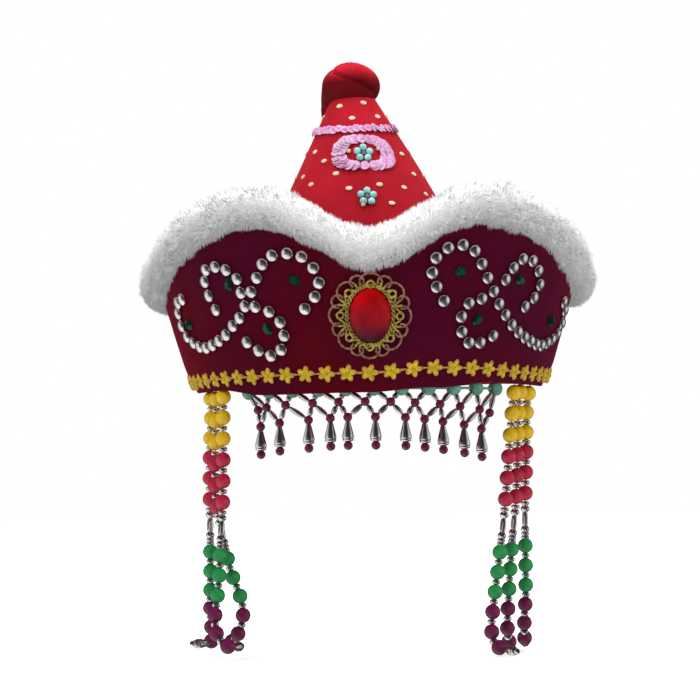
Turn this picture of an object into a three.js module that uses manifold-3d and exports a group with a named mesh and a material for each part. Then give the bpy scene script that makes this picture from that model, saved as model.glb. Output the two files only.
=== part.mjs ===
// A Mongolian hat: a red felt cone inside a flaring velvet brim band with a wavy top edge, white fur
// along that edge, scrolls of silver beads, a jewelled medallion, and bead strings that hang from the rim.
// Units are millimetres, +Z is up and the front of the hat faces -Y.
// The origin is the middle of the head opening, in the plane of the crown's lower edge.
import * as THREE from 'three';
import { mergeVertices } from 'three/addons/utils/BufferGeometryUtils.js';
import Module from 'manifold-3d';

const wasm = await Module();
wasm.setup();

// Driving dimensions
const GAP = 0.3; // between pieces that touch on the real hat
const STATIONS = 30; // round the head
const BEAD_SIDES = 10;
const STRING_SIDES = 8;

// The crown is an oval felt cone for a head of 570 mm round
const FELT = 2;
const CROWN_HALF_WIDTH = 85;
const CROWN_HALF_DEPTH = 100;
const CROWN_STRAIGHT = 8; // height of the upright stretch above the lower edge
const CROWN_HEIGHT = 142;
const CROWN_TOP_RADIUS = 13;
const CROWN_LEAN = -5.5; // how far the top stands to one side
const CROWN_TOP_SLOPE = 0.12; // the top's height gained for each mm across
const CROWN_RINGS = [0, CROWN_STRAIGHT, 85]; // heights of the rings below the top

// The brim band stands round the crown and leans outwards
const VELVET = 3.2;
const BAND_HALF_WIDTH = CROWN_HALF_WIDTH + GAP + VELVET;
const BAND_HALF_DEPTH = CROWN_HALF_DEPTH + GAP + VELVET;
const FLARE = 0.3; // mm outwards for each mm up
const BAND_UNDER_FUR = 8; // how far the band's top edge runs up into the fur
const FRONT_DROP = 5; // how far the band's lower edge hangs below the crown's at the front
const SIDE_DROP = 1.8;
const DROP_CHANGE = { start: 28, end: 50 }; // degrees from the front
const FACE_LEVEL = 35; // height at which ways round the band's face are measured
const FACE_END = 120; // degrees from the front, beyond the last bead on that face

// Height of the fur's lower edge above the rim, by degrees from the front
const WAVE = [
  { degrees: 0, height: 47 },
  { degrees: 8, height: 52 },
  { degrees: 16, height: 62 },
  { degrees: 24, height: 68.5 },
  { degrees: 32, height: 68.5 },
  { degrees: 42, height: 65 },
  { degrees: 54, height: 58.5 },
  { degrees: 66, height: 49 },
  { degrees: 78, height: 42 },
  { degrees: 90, height: 39 },
  { degrees: 120, height: 42 },
  { degrees: 150, height: 46 },
  { degrees: 180, height: 47 },
];

// The fur roll's section: out from the band's face, and up from the fur's lower edge
const FUR_SECTION = [
  { out: GAP, up: 0.5 },
  { out: GAP, up: BAND_UNDER_FUR + GAP },
  { out: -VELVET - GAP, up: BAND_UNDER_FUR + GAP },
  { out: -VELVET - GAP, up: 0.5 },
  { out: -9, up: 3 },
  { out: -10, up: 12 },
  { out: -5, up: 20 },
  { out: 3, up: 20.5 },
  { out: 9, up: 13 },
  { out: 8, up: 3 },
];

// Gold flower trim along the foot of the band
const TRIM_WIDTH = 7.4;
const TRIM_THICKNESS = 1.2;
const TRIM_MIDDLE = 3.5;

// Medallion on the middle of the band
const MEDALLION_HEIGHT = 28.8; // of its middle above the rim
const MEDALLION_WIDTH = 38;
const MEDALLION_TALL = 38;
const MEDALLION_THICKNESS = 1.5;
const MEDALLION_LIFT = 0.8; // of the stiff lace over the curved band
const SCALLOPS = 8;
// One scallop pair's outline, as shares of the frame's half width
const SCALLOP_REACH = [0.88, 0.99, 0.99, 0.88, 0.93];
const EYELET_RADIUS = 1.5;
const EYELET_PLACE = 0.4; // from the middle, as a share of the frame's width
const STONE_WIDTH = 18;
const STONE_TALL = 25;
const STONE_HEIGHT = 5;
const STONE_SEAT = 1.5; // width of the lace that the stone covers
const STONE_FACETS = 16;
// A cut stone's outline from its back to its table, as shares of its radius and height
const STONE_CUT = [
  { radius: 0, height: 0 },
  { radius: 1, height: 0 },
  { radius: 0.96, height: 0.3 },
  { radius: 0.55, height: 1 },
  { radius: 0, height: 1 },
];

// The scrolls are strings of silver beads, one bead thick
const SCROLL_RADIUS = 2.4;
const SCROLL_STEP = 12;
// Each point is the way round the band from its front middle, and the way up its face from the rim
const SCROLLS = {
  scroll_left_front: [
    [-29.6, 33.8], [-22, 45.6], [-28.6, 58], [-42, 59.4], [-51, 49.5], [-54.6, 39.8],
    [-47.8, 33.3], [-41.8, 21.7], [-50.9, 12.6], [-64, 19.6],
  ],
  scroll_left_side: [
    [-80.5, 36.2], [-83.6, 50], [-74, 56.4], [-62.8, 49.8], [-61.4, 37.5], [-71.1, 27.9],
    [-83.9, 21.4], [-97.2, 18.7], [-110.1, 21.9], [-118.4, 32], [-115.3, 40.2], [-104.1, 41.3],
  ],
  scroll_right_front: [
    [33.7, 36.5], [27.1, 49.5], [33.4, 61.1], [46.2, 60.1], [54, 49], [56.6, 42],
    [51.5, 37.3], [43.8, 31], [45.1, 21.5], [52.5, 16.6], [63.5, 20.6],
  ],
  scroll_right_side: [
    [82.4, 35.2], [90.7, 46.2], [81, 57.1], [69, 53.1], [63.8, 44.5], [63.8, 37.5],
    [70.5, 29.8], [82.6, 23.1], [100.9, 17.7], [122.3, 21.1], [131, 31], [124.8, 39.5],
  ],
};

// Leaf-shaped stones inside the scrolls: round, up, and the leaf's turn in degrees
const LEAF_LENGTH = 6;
const LEAF_WIDTH = 4;
const LEAF_HEIGHT = 1.8;
const LEAF_FACETS = 8;
const LEAF_CUT = [
  { radius: 0, height: 0 },
  { radius: 1, height: 0 },
  { radius: 0.55, height: 1 },
  { radius: 0, height: 1 },
];
const LEAVES = [
  { name: 'leaf_stone_1', round: -111.8, up: 31, turn: 60 },
  { name: 'leaf_stone_2', round: -69.6, up: 47.7, turn: -20 },
  { name: 'leaf_stone_3', round: -51.5, up: 25.4, turn: 30 },
  { name: 'leaf_stone_4', round: -34.1, up: 47.6, turn: 70 },
  { name: 'leaf_stone_5', round: 41.5, up: 50.4, turn: 80 },
  { name: 'leaf_stone_6', round: 53.7, up: 28.2, turn: -30 },
  { name: 'leaf_stone_7', round: 76.6, up: 47.8, turn: 70 },
  { name: 'leaf_stone_8', round: 114, up: 30, turn: -60 },
];

// Trims sewn on the cone
const CONE_LIFT = 0.5; // of the trims over the felt
const SEQUIN_THICKNESS = 1;
const SEQUIN_BAND_WIDTH = 4;
const SEQUIN_BAND_HEIGHT = 129;
const OVAL_HEIGHT = 114.6; // of its middle above the rim
const OVAL_HALF_WIDTH = 17;
const OVAL_HALF_TALL = 10.4;
const OVAL_STRIP = 5;
const OVAL_STATIONS = 16;
const CONE_FLOWERS = [
  { name: 'bead_flower_upper', degrees: 4.6, height: 114.4 },
  { name: 'bead_flower_lower', degrees: 3.3, height: 91.5 },
];
const FLOWER_RADIUS = 4.2;
const FLOWER_THICKNESS = 1.8;
const PETALS = 5;
const PETAL_STEPS = 4;
const PETAL_DEPTH = 0.18; // of the outline's wave, as a share of the radius

// Top knot of wrapped velvet
const KNOT = { x: -6.6, y: 1, z: 151.5 };
const KNOT_RADIUS = 14.5;
const KNOT_HALF_HEIGHT = 12.6;
const KNOT_SIDES = 12;
const KNOT_ROWS = 8;
const KNOT_CUT_FROM = 114; // height from which the cone is cut out of the ball

// Bead strings hang inside the band, on an oval that clears its wall
const RIM_BEAD = 7;
const RIM_INSET = 0.4; // the band's wall is flat between its stations
const RIM_HALF_WIDTH = CROWN_HALF_WIDTH - RIM_INSET - RIM_BEAD / 2;
const RIM_HALF_DEPTH = CROWN_HALF_DEPTH - RIM_INSET - RIM_BEAD / 2;
const RIM_BEAD_HEIGHT = -RIM_BEAD / 2 - GAP;
const RIM_BEAD_STEP = 9.15; // degrees
const RIM_END = 2.6; // degrees beyond the middle of the last bead
const RIM_STEPS = 40;
const BEAD_FLAT = 0.42; // half height of a bead's widest part, as a share of its radius
const BEND_STEPS = 200; // along a bent string
const THREAD_RADIUS = 0.7;
const DROPS = 11;
const FRINGE_MIDDLE = 0.8; // degrees: the fringe hangs a little to one side
const FRINGE_STEP = 7.6; // degrees
const HOOK_STEP = 8.1; // degrees between the net's upper corners
const UPPER_KNOT = { height: -9.9, sag: 3.2 };
const LOWER_KNOT = { height: -16.9, sag: 4.6 };
const FRINGE_HALF_ANGLE = 38; // degrees, where the sag is as stated
const NET_OUT = 1; // outside the rim beads' oval
const UPPER_STRIP = { halfTall: 1.2, halfThick: 1.1 };
const LOWER_STRIP = { halfTall: 1.1, halfThick: 1 };
const DROP_SIDES = 8;
// One drop's outline: down from the lower knot, and the radius there
const DROP = [
  { down: -0.6, radius: 2 },
  { down: 2.4, radius: 0.9 },
  { down: 9.8, radius: 2.7 },
  { down: 11.4, radius: 1.6 },
  { down: 14.8, radius: 1.6 },
];

// Side strands: three a side, all with the same beads in the same order
const STRAND_BEAD = 7.4;
const FIRST_BEAD = 4.8; // from the strand's upper end to its first bead's middle
const BARE_THREAD = 1.6; // at the strand's upper end
const GROUP_BEADS = 6; // in the upper group and in the lower one
const SPACER_RADIUS = 1.7;
const UPPER_PITCH = 10.1;
const LOWER_PITCH = 9.5;
const SILVER_LENGTH = 17; // of the silver stretch between the two groups of coloured beads
const SILVER_RADIUS = 1.8;
const SILVER_ROWS = [0.25, 0.75]; // shares of its length
const END_DROP_LENGTH = 13;
const END_DROP_RADIUS = 2.5;
const END_DROP_ROWS = [0.35, 0.75]; // shares of its length
// Each strand's path from the rim down, as x, y, z
const STRANDS = {
  strand_left_1: [
    [-70, -54.5, -0.9], [-70.6, -51, -7.8], [-71.5, -51, -54.4], [-73.1, -51, -79.1],
    [-73.5, -51, -88.4], [-74.6, -51, -99.8], [-75.8, -53, -109.1], [-75, -57, -117.4],
    [-70.9, -60.5, -122.4], [-65.5, -54, -124.4], [-63.2, -43, -124],
  ],
  strand_left_2: [
    [-74.4, -43.2, -0.9], [-74.5, -41.5, -7.5], [-75.5, -41, -39], [-74.8, -41, -58.9],
    [-71, -41, -77.3], [-69.2, -41, -86.6], [-66.1, -40.5, -95.8], [-63.5, -40, -103.8],
    [-63.4, -39, -112.5], [-66.3, -37, -119.8], [-69.7, -28, -123.3], [-72.5, -11, -123.4],
  ],
  strand_left_3: [
    [-78.2, -33.5, -0.9], [-77.3, -31.5, -7.1], [-78.3, -31.5, -34.4], [-78.6, -31.5, -54.2],
    [-78.9, -31.5, -83.3], [-79.2, -29, -96.9], [-79.6, -25, -107.8], [-79.3, -24, -117.5],
    [-79.2, -31, -122.9], [-81.2, -39, -123.3], [-93.1, -43, -122.3],
  ],
  strand_right_1: [
    [69, -55, -0.9], [68.1, -51.5, -10.3], [65.7, -51, -34.1], [63.3, -51, -59.4],
    [59.3, -51, -89.3], [57.7, -51, -100.2], [56.6, -51, -108.2], [55.6, -51.5, -117.5],
    [57, -53, -124.9], [60.5, -57.5, -126.8], [66.2, -68, -127.3],
  ],
  strand_right_2: [
    [73.6, -44.5, -0.9], [72.2, -42, -4.8], [69.4, -42, -54], [66.6, -42, -79.5], [64.4, -42, -107],
    [63.8, -42, -116], [64.4, -38, -123.5], [66, -29, -126.4], [67, -19, -127],
  ],
  strand_right_3: [
    [77.8, -34.5, -0.9], [76.2, -32, -9.8], [75.2, -32, -34.1], [74.2, -32, -59.8],
    [73.8, -32, -94.1], [73.6, -31.5, -103.8], [73, -29, -113.6], [73.1, -25, -122.1],
    [73.9, -16, -127.1], [75, -1, -127.1],
  ],
};

// Colours from the photograph, with each finish's roughness and metalness
const FINISH = {
  felt: { color: 0xc01c2c, roughness: 0.85, metalness: 0 },
  velvet: { color: 0x4d0b1e, roughness: 0.8, metalness: 0 },
  fur: { color: 0xf4f4f4, roughness: 0.95, metalness: 0 },
  gold_lace: { color: 0xb8922c, roughness: 0.45, metalness: 0.4 },
  red_stone: { color: 0xa80f12, roughness: 0.1, metalness: 0 },
  silver_bead: { color: 0xc4c4c8, roughness: 0.18, metalness: 1 },
  green_stone: { color: 0x06513a, roughness: 0.15, metalness: 0 },
  pink_sequin: { color: 0xe48ac0, roughness: 0.3, metalness: 0.2 },
  aqua_bead: { color: 0x4fc3bb, roughness: 0.25, metalness: 0 },
  turquoise_bead: { color: 0x47917c, roughness: 0.4, metalness: 0 },
  strung_bead: { color: 0xc42846, roughness: 0.35, metalness: 0 },
};

const group = new THREE.Group();

function addPiece(name, geometry, finish) {
  const piece = new THREE.Mesh(geometry, new THREE.MeshStandardMaterial(FINISH[finish]));
  piece.name = name;
  group.add(piece);
}

// A closed body through sections that are loops of the same number of points.
// The sections close on each other where wrap is true, and otherwise the two ends are capped.
function loft(sections, wrap) {
  const sides = sections[0].length;
  const points = sections.flat();
  const faces = [];
  const last = wrap ? sections.length : sections.length - 1;
  for (let i = 0; i < last; i += 1) {
    const near = i * sides;
    const far = ((i + 1) % sections.length) * sides;
    for (let j = 0; j < sides; j += 1) {
      const next = (j + 1) % sides;
      faces.push(near + j, near + next, far + j, near + next, far + next, far + j);
    }
  }
  if (!wrap) {
    const end = (sections.length - 1) * sides;
    for (let j = 1; j < sides - 1; j += 1) {
      faces.push(0, j + 1, j, end, end + j, end + j + 1);
    }
  }
  const geometry = new THREE.BufferGeometry();
  geometry.setAttribute('position', new THREE.Float32BufferAttribute(points.flatMap((p) => p.toArray()), 3));
  geometry.setIndex(faces);
  return faceOutwards(geometry);
}

function signedVolume(geometry) {
  const position = geometry.getAttribute('position');
  const index = geometry.getIndex();
  const corners = [new THREE.Vector3(), new THREE.Vector3(), new THREE.Vector3()];
  let sum = 0;
  for (let i = 0; i < index.count; i += 3) {
    corners.forEach((corner, k) => corner.fromBufferAttribute(position, index.getX(i + k)));
    sum += corners[0].dot(corners[1].clone().cross(corners[2]));
  }
  return sum / 6;
}

function faceOutwards(geometry) {
  if (signedVolume(geometry) < 0) {
    const index = geometry.getIndex();
    for (let i = 0; i < index.count; i += 3) {
      const second = index.getX(i + 1);
      index.setX(i + 1, index.getX(i + 2));
      index.setX(i + 2, second);
    }
  }
  return geometry;
}

// Joins a library geometry's shared vertices, so that it is one closed mesh
function closed(geometry) {
  const bare = geometry.clone();
  bare.deleteAttribute('normal');
  bare.deleteAttribute('uv');
  return faceOutwards(mergeVertices(bare, 1e-4));
}

function toSolid(geometry) {
  return new wasm.Manifold(new wasm.Mesh({
    numProp: 3,
    vertProperties: new Float32Array(geometry.getAttribute('position').array),
    triVerts: new Uint32Array(geometry.getIndex().array),
  }));
}

function toGeometry(solid) {
  const mesh = solid.getMesh();
  const geometry = new THREE.BufferGeometry();
  geometry.setAttribute('position', new THREE.Float32BufferAttribute(mesh.vertProperties, 3));
  geometry.setIndex(Array.from(mesh.triVerts));
  return geometry;
}

function fuse(geometries) {
  return toGeometry(geometries.map(toSolid).reduce((whole, solid) => whole.add(solid)));
}

// A point on an oval, by degrees from the front towards +X
function onOval(halfWidth, halfDepth, degrees, z) {
  const angle = THREE.MathUtils.degToRad(degrees);
  return new THREE.Vector3(halfWidth * Math.sin(angle), -halfDepth * Math.cos(angle), z);
}

function stationDegrees(count) {
  return Array.from({ length: count }, (_, i) => (360 * i) / count);
}

// A height from the wave's table, on straight lines between its rows
function waveHeight(degrees) {
  const turn = Math.abs(((degrees + 180) % 360) - 180);
  const after = Math.max(1, WAVE.findIndex((row) => row.degrees >= turn));
  const low = WAVE[after - 1];
  const high = WAVE[after];
  const share = (turn - low.degrees) / (high.degrees - low.degrees);
  return THREE.MathUtils.lerp(low.height, high.height, share);
}

// How far the band's lower edge hangs below the crown's, deeper across the front
function bandDrop(degrees) {
  const turn = Math.abs(((degrees + 180) % 360) - 180);
  const share = THREE.MathUtils.smoothstep(turn, DROP_CHANGE.start, DROP_CHANGE.end);
  return THREE.MathUtils.lerp(FRONT_DROP, SIDE_DROP, share);
}

function onBand(degrees, z, out) {
  const reach = FLARE * Math.max(z, 0) + out;
  return onOval(BAND_HALF_WIDTH + reach, BAND_HALF_DEPTH + reach, degrees, z);
}

// Crown: its half width and half depth at a height, out from its inner or outer face
function crownOval(z, out) {
  const share = Math.max(0, z - CROWN_STRAIGHT) / (CROWN_HEIGHT - CROWN_STRAIGHT);
  return {
    width: THREE.MathUtils.lerp(CROWN_HALF_WIDTH, CROWN_TOP_RADIUS, share) + out,
    depth: THREE.MathUtils.lerp(CROWN_HALF_DEPTH, CROWN_TOP_RADIUS, share) + out,
    shift: CROWN_LEAN * (z / CROWN_HEIGHT) ** 2,
  };
}

function onCrown(degrees, z, out) {
  const oval = crownOval(z, out);
  const point = onOval(oval.width, oval.depth, degrees, z);
  point.x += oval.shift;
  return point;
}

// A ring of the cone's surface, level or with the slope of the cone's top
function crownRing(z, out, slope) {
  return stationDegrees(STATIONS).map((degrees) => {
    const across = onCrown(degrees, z, out).x - CROWN_LEAN;
    return onCrown(degrees, z + slope * across, out);
  });
}

function makeCrown() {
  return loft([
    crownRing(CROWN_HEIGHT - FELT, -FELT, CROWN_TOP_SLOPE),
    ...CROWN_RINGS.toReversed().map((z) => crownRing(z, -FELT, 0)),
    ...CROWN_RINGS.map((z) => crownRing(z, 0, 0)),
    crownRing(CROWN_HEIGHT, 0, CROWN_TOP_SLOPE),
  ], false);
}

// The ball of the top knot, with its foot cut to sit on the cone's top
function makeTopKnot() {
  const ball = new THREE.SphereGeometry(KNOT_RADIUS, KNOT_SIDES, KNOT_ROWS);
  ball.rotateX(Math.PI / 2);
  ball.scale(1, 1, KNOT_HALF_HEIGHT / KNOT_RADIUS);
  ball.translate(KNOT.x, KNOT.y, KNOT.z);
  const cone = loft([
    crownRing(KNOT_CUT_FROM, GAP, 0),
    crownRing(CROWN_HEIGHT + GAP, GAP, CROWN_TOP_SLOPE),
  ], false);
  return toGeometry(toSolid(closed(ball)).subtract(toSolid(cone)));
}

function makeBrimBand() {
  const sections = stationDegrees(STATIONS).map((degrees) => {
    const foot = -bandDrop(degrees);
    const top = waveHeight(degrees) + BAND_UNDER_FUR;
    return [
      onBand(degrees, foot, 0),
      onBand(degrees, 0, 0),
      onBand(degrees, top, 0),
      onBand(degrees, top, -VELVET),
      onBand(degrees, 0, -VELVET),
      onBand(degrees, foot, -VELVET),
    ];
  });
  return loft(sections, true);
}

function makeFurTrim() {
  const sections = stationDegrees(STATIONS).map((degrees) => {
    const foot = waveHeight(degrees);
    return FUR_SECTION.map((point) => onBand(degrees, foot + point.up, point.out));
  });
  return loft(sections, true);
}

function makeFlowerTrim() {
  const foot = TRIM_MIDDLE - TRIM_WIDTH / 2;
  const top = TRIM_MIDDLE + TRIM_WIDTH / 2;
  const sections = stationDegrees(STATIONS).map((degrees) => [
    onBand(degrees, foot, GAP),
    onBand(degrees, foot, GAP + TRIM_THICKNESS),
    onBand(degrees, top, GAP + TRIM_THICKNESS),
    onBand(degrees, top, GAP),
  ]);
  return loft(sections, true);
}

// The way round the band's face to each whole degree from the front
const ROUND_TABLE = (() => {
  const middle = onBand(0, FACE_LEVEL, 0);
  const side = onBand(90, FACE_LEVEL, 0);
  const table = [0];
  for (let degrees = 1; degrees <= FACE_END; degrees += 1) {
    const angle = THREE.MathUtils.degToRad(degrees - 0.5);
    const speed = Math.hypot(side.x * Math.cos(angle), middle.y * Math.sin(angle));
    table.push(table[degrees - 1] + THREE.MathUtils.degToRad(speed));
  }
  return table;
})();

function degreesRound(round) {
  const way = Math.abs(round);
  const after = ROUND_TABLE.findIndex((length) => length > way);
  const start = ROUND_TABLE[after - 1];
  const share = (way - start) / (ROUND_TABLE[after] - start);
  return Math.sign(round) * (after - 1 + share);
}

// A point of the band's face, by the way round it and the way up it, and out from it
function onFace(round, up, out) {
  const slant = Math.hypot(1, FLARE);
  return onBand(degreesRound(round), up / slant, out * slant);
}

// Carries a flat shape, drawn as x across, y up and z out, to the band's face
function layOnFace(geometry, round, up, lift) {
  const position = geometry.getAttribute('position');
  for (let i = 0; i < position.count; i += 1) {
    const point = onFace(round + position.getX(i), up + position.getY(i), lift + position.getZ(i));
    position.setXYZ(i, point.x, point.y, point.z);
  }
  return closed(geometry);
}

function polygon(sides, halfWidth, halfTall) {
  return Array.from({ length: sides }, (_, i) => {
    const angle = (2 * Math.PI * i) / sides;
    return new THREE.Vector2(halfWidth * Math.cos(angle), halfTall * Math.sin(angle));
  });
}

// The lace frame has large and small scallops in turn, an eyelet in each large one,
// and an oval opening that the stone covers
function makeMedallionFrame() {
  const outline = [];
  const steps = SCALLOPS * SCALLOP_REACH.length;
  for (let i = 0; i < steps; i += 1) {
    const angle = (2 * Math.PI * (i - 1.5)) / steps;
    const share = SCALLOP_REACH[i % SCALLOP_REACH.length] / 2;
    outline.push(new THREE.Vector2(
      MEDALLION_WIDTH * share * Math.sin(angle),
      MEDALLION_TALL * share * Math.cos(angle),
    ));
  }
  const shape = new THREE.Shape(outline);
  const inner = polygon(STONE_FACETS, STONE_WIDTH / 2 - STONE_SEAT, STONE_TALL / 2 - STONE_SEAT);
  shape.holes.push(new THREE.Path(inner));
  for (let i = 0; i < SCALLOPS; i += 1) {
    const angle = (2 * Math.PI * i) / SCALLOPS;
    const eyelet = polygon(4, EYELET_RADIUS, EYELET_RADIUS).map((point) => point.add(new THREE.Vector2(
      EYELET_PLACE * MEDALLION_WIDTH * Math.sin(angle),
      EYELET_PLACE * MEDALLION_TALL * Math.cos(angle),
    )));
    shape.holes.push(new THREE.Path(eyelet));
  }
  const plate = new THREE.ExtrudeGeometry(shape, { depth: MEDALLION_THICKNESS, bevelEnabled: false });
  return layOnFace(plate, 0, MEDALLION_HEIGHT * Math.hypot(1, FLARE), MEDALLION_LIFT);
}

// A stone with a flat back, a slanting crown of facets and a flat table, its height along +Z
function cutStone(cut, width, tall, height, facets) {
  const outline = cut.map((row) => new THREE.Vector2(row.radius, row.height * height));
  const stone = new THREE.LatheGeometry(outline, facets);
  stone.rotateX(Math.PI / 2);
  stone.scale(width / 2, tall / 2, 1);
  return stone;
}

// Stands a flat-backed geometry on the band's face, turned about the face's normal
function standOnFace(geometry, round, up, out, turn) {
  const origin = onFace(round, up, out);
  const across = onFace(round + 1, up, out).sub(onFace(round - 1, up, out)).normalize();
  const normal = across.clone().cross(onFace(round, up + 1, out).sub(origin)).normalize();
  const upward = normal.clone().cross(across);
  geometry.rotateZ(THREE.MathUtils.degToRad(turn));
  geometry.applyMatrix4(new THREE.Matrix4().makeBasis(across, upward, normal).setPosition(origin));
  return closed(geometry);
}

function makeMedallionStone() {
  const stone = cutStone(STONE_CUT, STONE_WIDTH, STONE_TALL, STONE_HEIGHT, STONE_FACETS);
  const seat = GAP + MEDALLION_THICKNESS + MEDALLION_LIFT;
  return standOnFace(stone, 0, MEDALLION_HEIGHT * Math.hypot(1, FLARE), seat, 0);
}

function makeLeaf(leaf) {
  const stone = cutStone(LEAF_CUT, LEAF_WIDTH, LEAF_LENGTH, LEAF_HEIGHT, LEAF_FACETS);
  return standOnFace(stone, leaf.round, leaf.up, GAP, leaf.turn);
}

function stringSection(radius) {
  return new THREE.Shape(polygon(STRING_SIDES, radius, radius));
}

function makeScroll(points) {
  const out = SCROLL_RADIUS + GAP;
  const path = new THREE.CatmullRomCurve3(points.map(([round, up]) => onFace(round, up, out)));
  const steps = Math.round(path.getLength() / SCROLL_STEP);
  const tube = new THREE.ExtrudeGeometry(stringSection(SCROLL_RADIUS), { steps, extrudePath: path });
  return closed(tube);
}

// Sequin band round the cone near its top
function makeSequinBand() {
  const foot = SEQUIN_BAND_HEIGHT - SEQUIN_BAND_WIDTH / 2;
  const top = SEQUIN_BAND_HEIGHT + SEQUIN_BAND_WIDTH / 2;
  const sections = stationDegrees(STATIONS).map((degrees) => [
    onCrown(degrees, foot, CONE_LIFT),
    onCrown(degrees, foot, CONE_LIFT + SEQUIN_THICKNESS),
    onCrown(degrees, top, CONE_LIFT + SEQUIN_THICKNESS),
    onCrown(degrees, top, CONE_LIFT),
  ]);
  return loft(sections, true);
}

// Degrees for a way across the cone's front at a height
function acrossCone(across, z) {
  return THREE.MathUtils.radToDeg(across / crownOval(z, 0).width);
}

function makeSequinOval() {
  const sections = stationDegrees(OVAL_STATIONS).map((turn) => {
    const angle = THREE.MathUtils.degToRad(turn);
    const corner = (inset, out) => {
      const z = OVAL_HEIGHT + (OVAL_HALF_TALL - inset) * Math.cos(angle);
      const across = (OVAL_HALF_WIDTH - inset) * Math.sin(angle);
      return onCrown(CONE_FLOWERS[0].degrees + acrossCone(across, OVAL_HEIGHT), z, out);
    };
    return [
      corner(0, CONE_LIFT),
      corner(0, CONE_LIFT + SEQUIN_THICKNESS),
      corner(OVAL_STRIP, CONE_LIFT + SEQUIN_THICKNESS),
      corner(OVAL_STRIP, CONE_LIFT),
    ];
  });
  return loft(sections, true);
}

// A flower of round petals, laid on the cone
function makeConeFlower(flower) {
  const steps = PETALS * PETAL_STEPS;
  const outline = Array.from({ length: steps }, (_, i) => {
    const angle = (2 * Math.PI * i) / steps;
    const reach = FLOWER_RADIUS * (1 - PETAL_DEPTH + PETAL_DEPTH * Math.cos(PETALS * angle));
    return new THREE.Vector2(reach * Math.sin(angle), reach * Math.cos(angle));
  });
  const plate = new THREE.ExtrudeGeometry(new THREE.Shape(outline), {
    depth: FLOWER_THICKNESS,
    bevelEnabled: false,
  });
  const position = plate.getAttribute('position');
  for (let i = 0; i < position.count; i += 1) {
    const turn = flower.degrees + acrossCone(position.getX(i), flower.height);
    const point = onCrown(turn, flower.height + position.getY(i), CONE_LIFT + position.getZ(i));
    position.setXYZ(i, point.x, point.y, point.z);
  }
  return closed(plate);
}

// A lathed body about +Y from rows of a place along it and a radius
function turned(profile, sides) {
  return new THREE.LatheGeometry(profile.map((row) => new THREE.Vector2(row.radius, row.at)), sides);
}

// A turned string, lathed straight about its length and then bent along a curve
function bendAlong(profile, path) {
  const lathe = turned(profile, BEAD_SIDES);
  const length = path.getLength();
  const frames = path.computeFrenetFrames(BEND_STEPS, false);
  const position = lathe.getAttribute('position');
  for (let i = 0; i < position.count; i += 1) {
    const share = THREE.MathUtils.clamp(position.getY(i) / length, 0, 1);
    const frame = Math.round(share * BEND_STEPS);
    const place = path.getPointAt(share);
    place.addScaledVector(frames.normals[frame], position.getX(i));
    place.addScaledVector(frames.binormals[frame], position.getZ(i));
    position.setXYZ(i, place.x, place.y, place.z);
  }
  return closed(lathe);
}

function capped(rows) {
  const first = { at: rows[0].at, radius: 0 };
  const last = { at: rows[rows.length - 1].at, radius: 0 };
  return [first, ...rows, last];
}

// A bead's two rings, about its middle
function beadRings(at, diameter) {
  const half = diameter / 2;
  return [
    { at: at - half * BEAD_FLAT, radius: half },
    { at: at + half * BEAD_FLAT, radius: half },
  ];
}

function rimPath() {
  const reach = RIM_BEAD_STEP * (DROPS - 1) / 2 + RIM_END;
  const points = Array.from({ length: RIM_STEPS + 1 }, (_, i) => {
    const degrees = FRINGE_MIDDLE + reach * (2 * i / RIM_STEPS - 1);
    return onOval(RIM_HALF_WIDTH, RIM_HALF_DEPTH, degrees, RIM_BEAD_HEIGHT);
  });
  return new THREE.CatmullRomCurve3(points);
}

// Turquoise beads on a thread along the rim, one above each drop
function makeRimBeads() {
  const path = rimPath();
  const pitch = (path.getLength() - RIM_BEAD) / (DROPS - 1);
  const rows = [];
  for (let i = 0; i < DROPS; i += 1) {
    const at = RIM_BEAD / 2 + i * pitch;
    rows.push({ at: at - RIM_BEAD / 2, radius: THREAD_RADIUS });
    rows.push(...beadRings(at, RIM_BEAD));
    rows.push({ at: at + RIM_BEAD / 2, radius: THREAD_RADIUS });
  }
  return bendAlong(capped(rows), path);
}

function sag(knot, degrees) {
  return knot.height - knot.sag * ((degrees - FRINGE_MIDDLE) / FRINGE_HALF_ANGLE) ** 2;
}

// Knots of the net, as degrees from the front and height
function rimHook(place) {
  return {
    degrees: FRINGE_MIDDLE + HOOK_STEP * (place - (DROPS - 1) / 2),
    height: RIM_BEAD_HEIGHT - RIM_BEAD / 2 - GAP - UPPER_STRIP.halfTall,
  };
}

function netKnot(knot, place) {
  const degrees = FRINGE_MIDDLE + FRINGE_STEP * (place - (DROPS - 1) / 2);
  return { degrees, height: sag(knot, degrees) };
}

// A four-sided strip through knots that stand below the rim
function makeStrip(knots, strip) {
  const corners = [[1, 1], [1, -1], [-1, -1], [-1, 1]];
  return loft(knots.map((knot) => corners.map(([out, up]) => {
    const reach = NET_OUT + out * strip.halfThick;
    const z = knot.height + up * strip.halfTall;
    return onOval(RIM_HALF_WIDTH + reach, RIM_HALF_DEPTH + reach, knot.degrees, z);
  })), false);
}

// Two zigzag strips that meet at the upper knots and leave a diamond gap above each drop
function makeNet() {
  const upper = [netKnot(UPPER_KNOT, -0.5)];
  const lower = [netKnot(UPPER_KNOT, -0.5)];
  for (let i = 0; i < DROPS; i += 1) {
    const next = netKnot(UPPER_KNOT, i + 0.5);
    upper.push(rimHook(i), next);
    lower.push(netKnot(LOWER_KNOT, i), next);
  }
  return [makeStrip(upper, UPPER_STRIP), makeStrip(lower, LOWER_STRIP)];
}

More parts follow.
